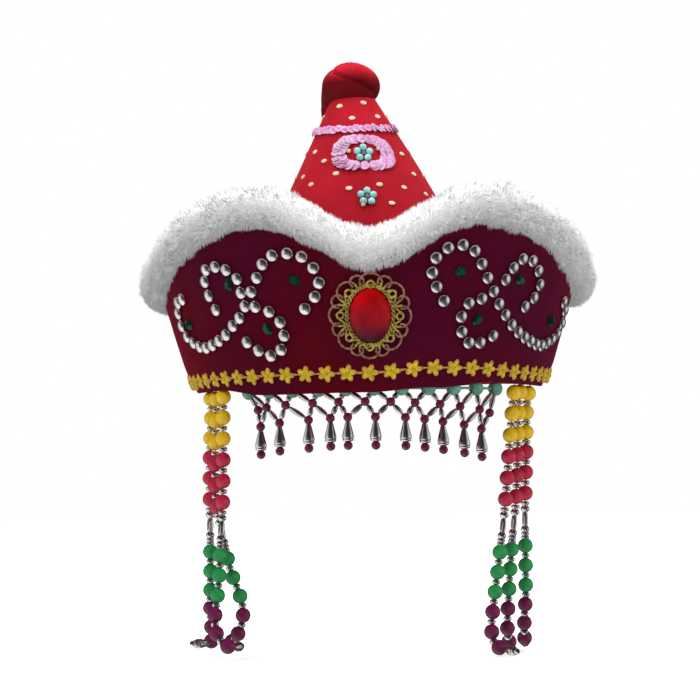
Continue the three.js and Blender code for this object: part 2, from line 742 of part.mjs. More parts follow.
// The net and the fluted drop that hangs from each of its lower knots
function makeFrontFringe() {
  const pieces = makeNet();
  const outline = capped(DROP.map((row) => ({ at: -row.down, radius: row.radius })));
  for (let i = 0; i < DROPS; i += 1) {
    const knot = netKnot(LOWER_KNOT, i);
    const place = onOval(RIM_HALF_WIDTH + NET_OUT, RIM_HALF_DEPTH + NET_OUT, knot.degrees, knot.height);
    const drop = turned(outline, DROP_SIDES);
    drop.rotateX(Math.PI / 2);
    drop.translate(place.x, place.y, place.z);
    pieces.push(closed(drop));
  }
  return fuse(pieces);
}

// The strand's beads from the rim down, as rows for the lathe
function strandRows(length) {
  const rows = [{ at: 0, radius: THREAD_RADIUS }];
  let at = FIRST_BEAD;
  const beads = (pitch) => {
    for (let i = 0; i < GROUP_BEADS; i += 1) {
      rows.push({ at: at - pitch / 2, radius: SPACER_RADIUS });
      rows.push(...beadRings(at, STRAND_BEAD));
      at += pitch;
    }
    at -= pitch / 2;
    rows.push({ at, radius: SPACER_RADIUS });
  };
  beads(UPPER_PITCH);
  rows[1] = { at: BARE_THREAD, radius: THREAD_RADIUS };
  for (const share of SILVER_ROWS) {
    rows.push({ at: at + share * SILVER_LENGTH, radius: SILVER_RADIUS });
  }
  at += SILVER_LENGTH + LOWER_PITCH / 2 - (UPPER_PITCH - STRAND_BEAD) / 2;
  beads(LOWER_PITCH);
  for (const share of END_DROP_ROWS) {
    rows.push({ at: at + share * END_DROP_LENGTH, radius: END_DROP_RADIUS });
  }
  rows.push({ at: Math.min(length, at + END_DROP_LENGTH), radius: THREAD_RADIUS });
  return rows;
}

function makeStrand(points) {
  const path = new THREE.CatmullRomCurve3(points.map((point) => new THREE.Vector3(...point)));
  return bendAlong(capped(strandRows(path.getLength())), path);
}

addPiece('crown', makeCrown(), 'felt');
addPiece('top_knot', makeTopKnot(), 'velvet');
addPiece('brim_band', makeBrimBand(), 'velvet');
addPiece('fur_trim', makeFurTrim(), 'fur');
addPiece('flower_trim', makeFlowerTrim(), 'gold_lace');
addPiece('medallion_frame', makeMedallionFrame(), 'gold_lace');
addPiece('medallion_stone', makeMedallionStone(), 'red_stone');
for (const [name, points] of Object.entries(SCROLLS)) {
  addPiece(name, makeScroll(points), 'silver_bead');
}
for (const leaf of LEAVES) {
  addPiece(leaf.name, makeLeaf(leaf), 'green_stone');
}
addPiece('sequin_band', makeSequinBand(), 'pink_sequin');
addPiece('sequin_oval', makeSequinOval(), 'pink_sequin');
for (const flower of CONE_FLOWERS) {
  addPiece(flower.name, makeConeFlower(flower), 'aqua_bead');
}
addPiece('rim_beads', makeRimBeads(), 'turquoise_bead');
addPiece('front_fringe', makeFrontFringe(), 'silver_bead');
for (const [name, points] of Object.entries(STRANDS)) {
  addPiece(name, makeStrand(points), 'strung_bead');
}

export default group;
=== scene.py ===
"""Dresses a Mongolian hat: felt cone, velvet brim band, white fur, silver bead scrolls, lace medallion,
bead fringe and hanging bead strands. Lengths inside the functions are millimetres, the meshes are metres.
"""

import math

import bpy
import numpy as np
from mathutils import Matrix, Vector


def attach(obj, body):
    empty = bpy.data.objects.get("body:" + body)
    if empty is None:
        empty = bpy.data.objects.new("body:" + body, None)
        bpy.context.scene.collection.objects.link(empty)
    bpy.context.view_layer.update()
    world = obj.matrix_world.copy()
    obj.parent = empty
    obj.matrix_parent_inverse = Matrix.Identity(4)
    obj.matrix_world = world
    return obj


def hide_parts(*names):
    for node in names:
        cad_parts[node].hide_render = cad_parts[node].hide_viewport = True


bl_info = {
    "name": "Mongolian hat",
    "version": (1, 0, 0),
    "blender": (4, 5, 0),
    "location": "View3D > Sidebar > Hat",
    "description": "Builds a Mongolian hat with fur, silver bead scrolls and bead strands",
    "category": "Object",
}

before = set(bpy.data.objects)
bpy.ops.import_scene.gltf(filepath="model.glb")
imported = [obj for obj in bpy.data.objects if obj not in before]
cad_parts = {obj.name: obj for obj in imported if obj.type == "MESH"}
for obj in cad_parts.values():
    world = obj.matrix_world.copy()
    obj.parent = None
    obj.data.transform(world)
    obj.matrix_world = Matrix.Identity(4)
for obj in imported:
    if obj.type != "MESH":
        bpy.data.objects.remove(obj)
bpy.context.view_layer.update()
MM = 0.001

# The cone: half sizes and height of its straight foot, its round top, lean, cut edge and thickness
CROWN_HALF_WIDTH = 85.0
CROWN_HALF_DEPTH = 100.0
CROWN_STRAIGHT = 8.0
CROWN_HEIGHT = 142.0
CROWN_TOP_RADIUS = 13.0
CROWN_LEAN = -5.5
CROWN_TOP_SLOPE = 0.12
CROWN_LIP = 4.2
FELT = 2.0
# Share of the rim's lift that the cone's foot follows
CROWN_FOOT_LIFT = 0.65

# The wrapped knot: its middle, its half sizes and how far its fold hangs to the left, back and down
KNOT_MIDDLE = (-6.6, 1, 151.5)
KNOT_HALF = (14.0, 13.6, 12.4)
KNOT_FOLD = (-9.0, 9.0, -12.5)

# The band: half sizes of its foot, thickness, growth for each millimetre up, and drop below the opening
BAND_HALF_WIDTH = 88.5
BAND_HALF_DEPTH = 103.5
VELVET = 3.2
FLARE = 0.3
FRONT_DROP = 5.0
SIDE_DROP = 1.5
# How far the rim rises at the back and at the front right
BACK_LIFT = 5.2
RIGHT_LIFT = 2.0
# How far the band's face turns in at its foot, and the height where that begins
TUCK = 2.3
TUCK_HEIGHT = 13.0
# How far the band runs up under the fur
BAND_UNDER_FUR = 8.0
# Height at which ways round the band's face are measured
FACE_LEVEL = 35.0

# Height of the fur's lower edge by degrees from the front
WAVE_DEGREES = [0, 8, 16, 24, 32, 42, 54, 66, 78, 90, 120, 150, 180]
WAVE_HEIGHTS = [46, 52, 62, 69, 69, 65, 58.5, 49, 42, 39, 42, 46, 47]

# Fur roll: middle of its section from the band's face and lower edge, and its half sizes
FUR_MIDDLE = (-0.5, 10.5)
FUR_CORE = (8.2, 8.6)
FUR_TIPS = (10.6, 11.0)
FUR_ARC = (-110.0, 250.0)

# Scroll beads by the way round the band and the way up its face, before the stretch and the rise
SCROLL_STRETCH = 1.018
SCROLL_RISE = 0.4
SCROLL_BEADS = {
    "scroll_left_front": [
        (-29.6, 33.8), (-24.4, 39.2), (-22, 45.6), (-23.9, 52.6), (-28.6, 58), (-34.9, 59.9),
        (-42, 59.4), (-47.4, 55.6), (-51.4, 49.5), (-55.6, 43.2), (-54.9, 36), (-47.8, 33.3),
        (-42.8, 28.1), (-41.8, 21.7), (-44.5, 15.2), (-50.9, 12.6), (-57.8, 15.3), (-64, 19.6),
    ],
    "scroll_left_side": [
        (-80.5, 36.2), (-83.1, 43.2), (-83.6, 50), (-80.8, 55.5), (-74, 56.4), (-67.7, 54.4),
        (-62.3, 49.8), (-61.6, 43.1), (-60.8, 36.6), (-65.5, 31.4), (-71.1, 27.9), (-77.4, 23.9),
        (-83.9, 21.4), (-90.7, 19.6), (-97.2, 18.7), (-103.8, 19.6), (-110.1, 21.9), (-116.4, 25.3),
        (-119.8, 30.9), (-119.4, 37.1), (-115.3, 42.2), (-108.7, 43.4),
    ],
    "scroll_right_front": [
        (33.7, 36.5), (29.6, 43), (27.1, 49.5), (28.4, 56.4), (33.4, 61.1), (40.1, 62.7),
        (46.2, 60.1), (50.6, 54.2), (54.8, 47.8), (59.4, 41.6), (53.2, 37.9), (46.5, 35.6),
        (43.4, 29.2), (44.6, 22.2), (49.3, 17.1), (56.1, 17.2), (63.5, 20.6),
    ],
    "scroll_right_side": [
        (82.4, 35.2), (88.1, 39.8), (90.7, 46.2), (87, 52.7), (81, 57.1), (73.9, 57.6), (69, 53.1),
        (65.4, 47.3), (63.9, 35.8), (69.3, 30.8), (75.1, 26.2), (81.2, 22.9), (87.6, 20.6),
        (94.1, 19), (100.9, 17.7), (107.6, 17.5), (114.6, 19), (121.6, 21.1), (128.6, 24.2),
        (132.6, 29.8), (130.9, 36.2), (124.8, 39.9),
    ],
}
STUD_HEIGHT = 2.2

# Leaf stones: way round, way up and turn in degrees
LEAVES = [
    ("leaf_stone_1", -111.8, 31, 60),
    ("leaf_stone_2", -69.6, 47.7, -20),
    ("leaf_stone_3", -51.5, 25.4, 30),
    ("leaf_stone_4", -34.1, 47.6, 70),
    ("leaf_stone_5", 41.5, 50.4, 80),
    ("leaf_stone_6", 53.7, 28.2, -30),
    ("leaf_stone_7", 76.6, 47.8, 70),
    ("leaf_stone_8", 114, 30, -60),
]
LEAF_HALF = (2.5, 3.1)
LEAF_HEIGHT = 1.8

# Medallion: its middle's way up the face, half sizes of the lace and the stone, and the lace's way out
MEDALLION_UP = 29.8
LACE_HALF = (18.6, 20.0)
STONE_HALF = (9.5, 12.9)
LACE_OUT = 1.7
SCALLOPS = 8
SCALLOP_START = 0.03

# Gold flowers on a thread along the band's foot
TRIM_HEIGHT = 3.2
TRIM_FLOWERS = 60
TRIM_START = -0.4

# Cone trims
SEQUIN_BAND_HEIGHT = 128.2
SEQUIN_BAND_COUNT = 46
OVAL = {"degrees": 4.6, "height": 114.0, "half_width": 13.4, "half_tall": 7.8}
CONE_FLOWERS = [("bead_flower_upper", 4.6, 113.8), ("bead_flower_lower", 3.3, 90.7)]
PETAL_RING = 3.1
# Foil dots seen from the front, as degrees and height
FOIL_DOTS = [
    (-30.9, 140.3), (22, 141.8), (-5, 133.2), (41.7, 134.6), (-53.3, 116.7), (-35.4, 110.9),
    (-57.5, 104.1), (-42.6, 99.1), (-20.6, 103.6), (-9.2, 95.4), (13.9, 97.2), (33.7, 96.2),
    (19.6, 87.5), (51.3, 114.8), (53.1, 104.3), (54.6, 93.9),
]
# Rows of foil dots that go on round the cone: height, count and degrees from the front where they start
FOIL_ROWS = [(136, 7, 76), (118, 8, 84), (105, 10, 76), (92, 12, 80), (80, 14, 74)]

# Fringe under the front rim: half sizes of the rim beads' oval, its middle and steps in degrees
RIM_OVAL = (81.1, 96.1)
RIM_BEAD_HEIGHT = -3.8
RIM_BEAD_STEP = 9.15
FRINGE_MIDDLE = 0.8
FRINGE_DROPS = 11
FRINGE_STEP = 7.6
# Knots of the net: their height in the middle, and how much lower they hang at the ends
UPPER_KNOT = (-9.9, 3.2)
LOWER_KNOT = (-16.9, 4.6)
# Degrees by which each knot hangs aside, from the left
UPPER_SLIPS = [0.8, -3.2, -3.2, -1.1, 0, 1.0, 1.6, 2.0, 3.0, 2.8, 3.2, 0.1]
LOWER_SLIPS = [-2.0, -1.8, 1.2, 1.0, -0.9, 0.4, 2.5, 1.3, 0.1, 0.4, 0.0]
# How much higher the net hangs at its left end and lower at its right, and the degrees out to there
FRINGE_TILT = 1.4
FRINGE_REACH = 38.0
# From the lower knots down to the beads under the drops, and to the threads' ends
DROP_LENGTH = 13.0
DROP_THREAD = 14.6
# Room that a knot's bead leaves beside it
KNOT_ROOM = 1.9

# Strands: six beads, a silver stretch, six beads and an end drop
FIRST_BEAD = 4.8
UPPER_PITCH = 10.1
LOWER_START = 80.75
LOWER_PITCH = 9.5
DROP_START = 133.0
SILVER_STRETCH = [
    (60.2, "ring"), (62.9, "ball"), (68.0, "long"), (72.8, "ball"), (75.0, "ring"), (76.8, "ring"),
]
# Length of each strand's thread that is sewn into the hem
STITCH = 3.5
# How far each strand's beads slip down its thread
STRAND_SLIPS = {
    "strand_left_1": 0.0, "strand_left_2": 1.6, "strand_left_3": -1.9,
    "strand_right_1": 0.9, "strand_right_2": 0.0, "strand_right_3": -2.1,
}
# Each strand's way from the rim down
STRANDS = {
    "strand_left_1": [
        (-70, -54.5, -0.9), (-70.6, -51, -7.8), (-71.5, -51, -54.4), (-73.1, -51, -79.1),
        (-73.5, -51, -88.4), (-74.6, -51, -99.8), (-75.8, -53, -109.1), (-75, -57, -117.4),
        (-70.9, -60.5, -122.4), (-65.5, -54, -124.4), (-63.2, -43, -124),
    ],
    "strand_left_2": [
        (-74.4, -43.2, -0.9), (-74.5, -41.5, -7.5), (-75.5, -41, -39), (-74.8, -41, -58.9),
        (-71, -41, -77.3), (-69.2, -41, -86.6), (-66.1, -40.5, -95.8), (-63.5, -40, -103.8),
        (-63.4, -39, -112.5), (-66.3, -37, -119.8), (-69.7, -28, -123.3), (-72.5, -11, -123.4),
    ],
    "strand_left_3": [
        (-78.2, -33.5, -0.9), (-77.3, -31.5, -7.1), (-78.3, -31.5, -34.4), (-78.6, -31.5, -54.2),
        (-78.9, -31.5, -83.3), (-79.2, -29, -96.9), (-79.6, -25, -107.8), (-79.3, -24, -117.5),
        (-79.2, -31, -122.9), (-81.2, -39, -123.3), (-93.1, -43, -122.3),
    ],
    "strand_right_1": [
        (69, -55, -0.9), (68.1, -51.5, -10.3), (65.7, -51, -34.1), (63.3, -51, -59.4),
        (59.3, -51, -89.3), (57.7, -51, -100.2), (56.6, -51, -108.2), (55.6, -51.5, -117.5),
        (57, -53, -124.9), (60.5, -57.5, -126.8), (66.2, -68, -127.3),
    ],
    "strand_right_2": [
        (73.6, -44.5, -0.9), (72.2, -42, -4.8), (69.4, -42, -54), (66.6, -42, -79.5),
        (64.4, -42, -107), (63.8, -42, -116), (64.4, -38, -123.5), (66, -29, -126.4),
        (67, -19, -127),
    ],
    "strand_right_3": [
        (77.8, -34.5, -0.9), (76.2, -32, -9.8), (75.2, -32, -34.1), (74.2, -32, -59.8),
        (73.8, -32, -94.1), (73.6, -31.5, -103.8), (73, -29, -113.6), (73.1, -25, -122.1),
        (73.9, -16, -127.1), (75, -1, -127.1),
    ],
}

# Camera: where the photograph was taken from, in millimetres of the hat's frame
CAMERA_PLACE = (-9.42, -1199.4, -43.7)
CAMERA_FORWARD = (0.0, 0.9986, 0.0523)
CAMERA_ROLL = 1.0
CAMERA_LENS = 123.43
FLOOR_HEIGHT = -130.6


# Shapes: a shape is a pair of an array of points and a list of arrays of faces


def grid_faces(rows, columns, wrap_rows, wrap_columns):
    """Four-sided faces between neighbours of a grid of points that is stored row by row."""
    row = np.arange(rows if wrap_rows else rows - 1)
    column = np.arange(columns if wrap_columns else columns - 1)
    row, column = np.meshgrid(row, column, indexing="ij")
    below, beside = (row + 1) % rows, (column + 1) % columns
    corners = [
        row * columns + column,
        row * columns + beside,
        below * columns + beside,
        below * columns + column,
    ]
    return np.stack(corners, -1).reshape(-1, 4)


def signed_volume(points, faces):
    """Sum over the faces' triangles of a . (b x c) / 6, positive where the faces point outwards."""
    total = 0.0
    for rows in faces:
        for second in range(1, rows.shape[1] - 1):
            a, b, c = (points[rows[:, k]] for k in (0, second, second + 1))
            total += np.einsum("ij,ij->i", a, np.cross(b, c)).sum()
    return total / 6


def closed(points, faces):
    """The shape with its faces pointing outwards."""
    if signed_volume(points, faces) < 0:
        faces = [rows[:, ::-1] for rows in faces]
    return points, faces


def merge(shapes):
    """Several shapes as one."""
    points, faces, start = [], [], 0
    for some_points, some_faces in shapes:
        points.append(some_points)
        faces.extend(rows + start for rows in some_faces)
        start += len(some_points)
    return np.concatenate(points), faces


def lengths_along(path):
    """The length of a path up to each of its points."""
    return np.concatenate([[0], np.cumsum(np.linalg.norm(np.diff(path, axis=0), axis=1))])


def whole_turn(count, turn=2 * np.pi):
    """Even steps round a whole turn, in radians, or in degrees with a turn of 360."""
    return np.linspace(0, turn, count, endpoint=False)


def ring_surface(grid):
    """A closed shape from a grid of points that wraps both ways."""
    rows, columns = grid.shape[:2]
    return closed(grid.reshape(-1, 3), [grid_faces(rows, columns, True, True)])


def capped_surface(grid, first, last):
    """A closed shape from a grid that wraps along its columns, with a point that closes each end."""
    rows, columns = grid.shape[:2]
    around = np.arange(columns)
    beside = (around + 1) % columns
    top = rows * columns
    last_row = (rows - 1) * columns
    faces = [
        grid_faces(rows, columns, False, True),
        np.stack([np.full(columns, top), beside, around], -1),
        np.stack([np.full(columns, top + 1), last_row + around, last_row + beside], -1),
    ]
    return closed(np.vstack([grid.reshape(-1, 3), [first], [last]]), faces)


def lathe(profile, sides, flutes=0, depth=0.0):
    """Rows of (radius, height) turned about Z, the radius times 1 - depth (1 + cos(flutes angle)) / 2.
    A profile that starts and ends on the axis is closed there, and any other closes on itself."""
    profile = np.asarray(profile, float)
    poles = profile[0, 0] == 0
    rows = profile[1:-1] if poles else profile
    angle = whole_turn(sides)
    swell = 1 - depth * (1 + np.cos(flutes * angle)) / 2
    radius = rows[:, :1] * swell
    height = np.repeat(rows[:, 1:], sides, 1)
    grid = np.stack([radius * np.cos(angle), radius * np.sin(angle), height], -1)
    if poles:
        return capped_surface(grid, (0, 0, profile[0, 1]), (0, 0, profile[-1, 1]))
    return ring_surface(grid)


def copies(shape, places, axes):
    """A copy of the shape at each place, its X, Y and Z laid along the columns of that place's axes."""
    points, faces = shape
    count = len(points)
    moved = np.einsum("kij,nj->kni", axes, points) + np.asarray(places)[:, None]
    starts = (np.arange(len(places)) * count)[:, None, None]
    return moved.reshape(-1, 3), [(rows + starts).reshape(-1, rows.shape[1]) for rows in faces]


def unit(vectors):
    """Each vector divided by its length."""
    return vectors / np.linalg.norm(vectors, axis=-1, keepdims=True)


def axes_along(directions, reference):
    """Axes whose Z is each direction and whose X is square to it and to the reference."""
    z = unit(np.asarray(directions, float))
    x = unit(np.cross(reference, z))
    return np.stack([x, np.cross(z, x), z], -1)


def turned(axes, degrees):
    """Axes turned about their own Z."""
    angle = np.radians(degrees)[..., None]
    cosine, sine = np.cos(angle), np.sin(angle)
    x, y, z = axes[..., 0], axes[..., 1], axes[..., 2]
    return np.stack([x * cosine + y * sine, y * cosine - x * sine, z], -1)


def tube(path, radius, sides, normals, wrap=False, twist=0.0, ridges=0, depth=0.0):
    """A section carried along a path: path + radius (cos a side + sin a normal), where side is the tangent
    crossed with the normal. Ridges wind round it, twist radians for each millimetre."""
    path = np.asarray(path, float)
    if wrap:
        tangents = np.roll(path, -1, 0) - np.roll(path, 1, 0)
    else:
        tangents = np.gradient(path, axis=0)
    tangents = unit(tangents)
    side = unit(np.cross(tangents, normals))
    normal = np.cross(side, tangents)
    length = lengths_along(path)[:, None]
    angle = whole_turn(sides)[None]
    reach = radius * (1 + depth * np.cos(ridges * angle + twist * length))
    grid = path[:, None] + reach[..., None] * (
        np.cos(angle)[..., None] * side[:, None] + np.sin(angle)[..., None] * normal[:, None]
    )
    if wrap:
        return ring_surface(grid)
    return capped_surface(grid, path[0], path[-1])


def bead(diameter, hole, sides=18, rows=11):
    """A round bead drilled along Z: radius R cos t and height R sin t, down to the edge of the hole."""
    radius = diameter / 2
    edge = math.acos(hole / radius)
    t = np.linspace(-edge, edge, rows)
    return lathe(np.stack([radius * np.cos(t), radius * np.sin(t)], -1), sides)


def rice(length, diameter, hole=0.35):
    """A long bead: its radius falls from the middle as (1 - (2 z / length)^2) ^ 0.6."""
    z = np.linspace(-0.5, 0.5, 11)
    radius = hole + (diameter / 2 - hole) * np.clip(1 - (2 * z) ** 2, 0, 1) ** 0.6
    rows = np.stack([radius, z * length], -1)
    return lathe(np.vstack([rows, [[hole * 0.6, length / 2 - 0.1], [hole * 0.6, 0.1 - length / 2]]]), 12)


def smooth_path(points, steps=24):
    """A smooth curve through the points, as many points close together: cubic pieces whose way through each
    point is weighed by the square roots of the steps beside it."""
    points = np.asarray(points, float)
    points = np.vstack([2 * points[0] - points[1], points, 2 * points[-1] - points[-2]])
    p0, p1, p2, p3 = points[:-3], points[1:-2], points[2:-1], points[3:]
    steps_between = ((p0, p1), (p1, p2), (p2, p3))
    d0, d1, d2 = (np.sqrt(np.linalg.norm(b - a, axis=1))[:, None] for a, b in steps_between)
    t1 = ((p1 - p0) / d0 - (p2 - p0) / (d0 + d1) + (p2 - p1) / d1) * d1
    t2 = ((p2 - p1) / d1 - (p3 - p1) / (d1 + d2) + (p3 - p2) / d2) * d1
    s = np.linspace(0, 1, steps, endpoint=False)[:, None, None]
    curve = p1 + t1 * s + (3 * (p2 - p1) - 2 * t1 - t2) * s**2 + (2 * (p1 - p2) + t1 + t2) * s**3
    return np.vstack([curve.transpose(1, 0, 2).reshape(-1, 3), points[-2]])


def along(path, at):
    """Places and tangents at lengths along a path of close points."""
    length = lengths_along(path)
    at = np.clip(np.asarray(at, float), 0, length[-1])

    def place(where):
        return np.stack([np.interp(where, length, path[:, k]) for k in range(3)], -1)

    tangents = place(np.minimum(at + 0.6, length[-1])) - place(np.maximum(at - 0.6, 0))
    return place(at), unit(tangents)


# The hat's own surfaces


def oval(half_width, half_depth, degrees, z):
    """A point (a sin d, -b cos d, z) of an oval, by degrees from the front towards +X."""
    angle = np.radians(degrees)
    x, y, z = np.broadcast_arrays(half_width * np.sin(angle), -half_depth * np.cos(angle), z)
    return np.stack([x, y, z], -1)


def from_front(degrees):
    """Degrees away from the front, whichever side."""
    return np.abs((np.asarray(degrees) + 180) % 360 - 180)


def fur_foot(degrees):
    """The wave of the fur's lower edge: lines between the table's rows, rounded over twelve degrees."""
    shifts = np.linspace(-6, 6, 13)
    weights = np.cos(np.radians(shifts * 90 / 7))
    heights = [np.interp(from_front(degrees + s), WAVE_DEGREES, WAVE_HEIGHTS) for s in shifts]
    return np.tensordot(weights / weights.sum(), heights, 1)


def smooth_step(t):
    """t t (3 - 2 t) with t kept between 0 and 1."""
    t = np.clip(t, 0, 1)
    return t * t * (3 - 2 * t)


def band_drop(degrees):
    """How far the band hangs below the opening: a smooth step from its drop in front to its drop aside,
    from 28 to 50 degrees, and six degrees sooner on the right."""
    aside = (np.asarray(degrees) + 180) % 360 - 180
    sooner = 6 * np.clip(aside / 10, -1, 1)
    return FRONT_DROP + (SIDE_DROP - FRONT_DROP) * smooth_step((np.abs(aside) - 28 + sooner) / 22)


def rim_lift(degrees):
    """How far the rim rises: a smooth step from 70 to 140 degrees from the front, and on the right one over
    18 degrees, which falls to three tenths from 32 to 58 degrees and to nothing at the back."""
    aside = (np.asarray(degrees) + 180) % 360 - 180
    right = smooth_step(aside / 18) * (1 - 0.7 * smooth_step((aside - 32) / 26))
    right = right * smooth_step((180 - aside) / 60)
    return BACK_LIFT * smooth_step((from_front(degrees) - 70) / 70) + RIGHT_LIFT * right


def tuck(z):
    """How far the band's outer face turns in near its foot, by the square of the way down."""
    return TUCK * np.clip(1 - np.maximum(z, 0) / TUCK_HEIGHT, 0, 1) ** 2


def on_band(degrees, z, out):
    """The band's face, an oval that grows by the flare for each millimetre above the rim."""
    reach = FLARE * np.maximum(z, 0) + out
    return oval(BAND_HALF_WIDTH + reach, BAND_HALF_DEPTH + reach, degrees, z)


def round_to_degrees(way):
    """Degrees for a way round the band's face, from the oval's length between whole degrees."""
    degrees = np.arange(0, 181)
    table = lengths_along(on_band(degrees, FACE_LEVEL, 0))
    return np.sign(way) * np.interp(np.abs(way), table, degrees)


def on_face(way, up, out):
    """A point of the band's face by the way round it, the way up its slope, and out from it."""
    slant = math.hypot(1, FLARE)
    way, up, out = np.broadcast_arrays(way, up, out)
    return on_band(round_to_degrees(way), up / slant, out * slant)


def surface_axes(surface, u, v, out):
    """Axes of a surface at points: X along u, Y along v, Z out of it."""
    across = unit(surface(u + 0.5, v, out) - surface(u - 0.5, v, out))
    upward = surface(u, v + 0.5, out) - surface(u, v - 0.5, out)
    normal = unit(np.cross(across, upward))
    return np.stack([across, np.cross(normal, across), normal], -1)


def laid(shape, surface, u, v, out, turn=0.0):
    """Copies of a shape laid on a surface, at a way out from it and turned by degrees."""
    axes = turned(surface_axes(surface, u, v, 0), turn)
    return copies(shape, surface(u, v, out), axes)


def on_crown(degrees, z, out):
    """The cone: an oval that narrows to a small circle and leans by the square of its height."""
    share = np.maximum(0, z - CROWN_STRAIGHT) / (CROWN_HEIGHT - CROWN_STRAIGHT)
    half_width = CROWN_HALF_WIDTH + (CROWN_TOP_RADIUS - CROWN_HALF_WIDTH) * share + out
    half_depth = CROWN_HALF_DEPTH + (CROWN_TOP_RADIUS - CROWN_HALF_DEPTH) * share + out
    point = oval(half_width, half_depth, degrees, z)
    point[..., 0] += CROWN_LEAN * (z / CROWN_HEIGHT) ** 2
    return point


def crown_half_width(z):
    """Half the cone's width at a height."""
    return on_crown(90.0, z, 0)[0] - on_crown(0.0, z, 0)[0]


def even_degrees(count, half_width, half_depth):
    """Degrees of points at even lengths round an oval."""
    degrees = np.linspace(0, 360, 1441)
    table = lengths_along(oval(half_width, half_depth, degrees, 0))
    return np.interp(np.arange(count) * table[-1] / count, table, degrees)


# Materials


def add_node(tree, kind, inputs=(), **settings):
    """A shader node with its settings, and a plain value or a link for each input that is given."""
    node = tree.nodes.new("ShaderNode" + kind)
    for key, value in settings.items():
        setattr(node, key, value)
    for key, value in dict(inputs).items():
        if isinstance(value, bpy.types.NodeSocket):
            tree.links.new(value, node.inputs[key])
        else:
            node.inputs[key].default_value = value
    return node


def ranged(tree, value, start, end, low=0.0, high=1.0):
    """A value mapped from start and end to low and high."""
    inputs = {"Value": value, "From Min": start, "From Max": end, "To Min": low, "To Max": high}
    return add_node(tree, "MapRange", inputs).outputs["Result"]


def mixed(tree, share, a, b, blend="MIX"):
    """Two colours mixed by a share."""
    inputs = {"Factor": share, "A": a, "B": b}
    return add_node(tree, "Mix", inputs, data_type="RGBA", blend_type=blend).outputs["Result"]


def either(tree, share, first, second):
    """Two shaders mixed by a share."""
    return add_node(tree, "MixShader", {"Fac": share, 1: first, 2: second}).outputs["Shader"]


def fibre_group():
    """Colour mottled by broad noise, and a height from fine noise, for cloth, thread and fur."""
    name = "Fibre"
    if name in bpy.data.node_groups:
        return bpy.data.node_groups[name]
    tree = bpy.data.node_groups.new(name, "ShaderNodeTree")
    for key, kind, default in (
        ("Colour", "Color", (0.5, 0.5, 0.5, 1)),
        ("Shade", "Color", (0.3, 0.3, 0.3, 1)),
        ("Mottle scale", "Float", 60.0),
        ("Fibre scale", "Float", 900.0),
    ):
        made = tree.interface.new_socket(name=key, in_out="INPUT", socket_type="NodeSocket" + kind)
        made.default_value = default
    tree.interface.new_socket(name="Colour", in_out="OUTPUT", socket_type="NodeSocketColor")
    tree.interface.new_socket(name="Height", in_out="OUTPUT", socket_type="NodeSocketFloat")
    given = tree.nodes.new("NodeGroupInput").outputs
    result = tree.nodes.new("NodeGroupOutput").inputs
    place = add_node(tree, "TexCoord").outputs["Object"]
    broad = add_node(tree, "TexNoise", {"Vector": place, "Scale": given["Mottle scale"], "Detail": 3.0})
    fine = add_node(tree, "TexNoise", {"Vector": place, "Scale": given["Fibre scale"], "Detail": 2.0})
    spread = ranged(tree, broad.outputs["Fac"], 0.35, 0.65)
    tree.links.new(mixed(tree, spread, given["Colour"], given["Shade"]), result["Colour"])
    tree.links.new(fine.outputs["Fac"], result["Height"])
    return tree


def faded(tree, colour, by, start, end, least=None, below=None, above=None):
    """A colour that changes by the height in metres or by an attribute, between start and end: dimmed from
    its least share up to one, or blended with the colour below the start or above the end."""
    if by == "height":
        place = add_node(tree, "TexCoord").outputs["Object"]
        value = add_node(tree, "SeparateXYZ", {"Vector": place}).outputs["Z"]
    else:
        value = add_node(tree, "Attribute", attribute_name=by).outputs["Fac"]
    if least is not None:
        return mixed(tree, 1.0, colour, ranged(tree, value, start, end, least), "MULTIPLY")
    share = ranged(tree, value, start, end)
    if below is not None:
        return mixed(tree, share, below, colour)
    return mixed(tree, share, colour, above)


def principled(name, values):
    """A new material and its Principled shader, with plain values set on its sockets."""
    material = bpy.data.materials.new(name)
    material.use_nodes = True
    shader = material.node_tree.nodes["Principled BSDF"]
    for key, value in values.items():
        shader.inputs[key].default_value = value
    return material, shader


def add_fibre(tree, shader, colour, shade, scales, bump, fade=None):
    """Leads the Fibre group's colour, faded where that is asked for, and its bump to a shader."""
    inputs = {"Colour": colour, "Shade": shade, "Mottle scale": scales[0], "Fibre scale": scales[1]}
    group = add_node(tree, "Group", inputs, node_tree=fibre_group()).outputs
    inputs = {"Strength": 1.0, "Distance": bump * MM, "Height": group["Height"]}
    relief = add_node(tree, "Bump", inputs).outputs["Normal"]
    surface = faded(tree, group["Colour"], **fade) if fade else group["Colour"]
    tree.links.new(surface, shader.inputs["Base Color"])
    tree.links.new(relief, shader.inputs["Normal"])


def dyed_bead():
    """Dyed beads: the colour comes from each bead's own attribute, mottled a little."""
    name = "Dyed bead"
    if name in bpy.data.materials:
        return bpy.data.materials[name]
    material, shader = principled(name, {"Roughness": 0.42, "Coat Weight": 0.12, "Coat Roughness": 0.2})
    tree = material.node_tree
    dye = add_node(tree, "Attribute", attribute_name="dye").outputs["Color"]
    darker = mixed(tree, 1.0, dye, (0.86, 0.86, 0.86, 1), "MULTIPLY")
    add_fibre(tree, shader, dye, darker, (350.0, 1500.0), 0.03)
    return material


def sheen(roughness, level, weight, sheen_roughness, tint):
    """The shader's values for cloth with a nap."""
    return {
        "Roughness": roughness,
        "Specular IOR Level": level,
        "Sheen Weight": weight,
        "Sheen Roughness": sheen_roughness,
        "Sheen Tint": (*tint, 1),
    }


def look(colour, shade, scales, bump, values, **extra):
    """A row of the looks: colour or its name, shade or its share, noise scales, bump in mm and values."""
    return {"colour": colour, "shade": shade, "scales": scales, "bump": bump, "values": values, **extra}


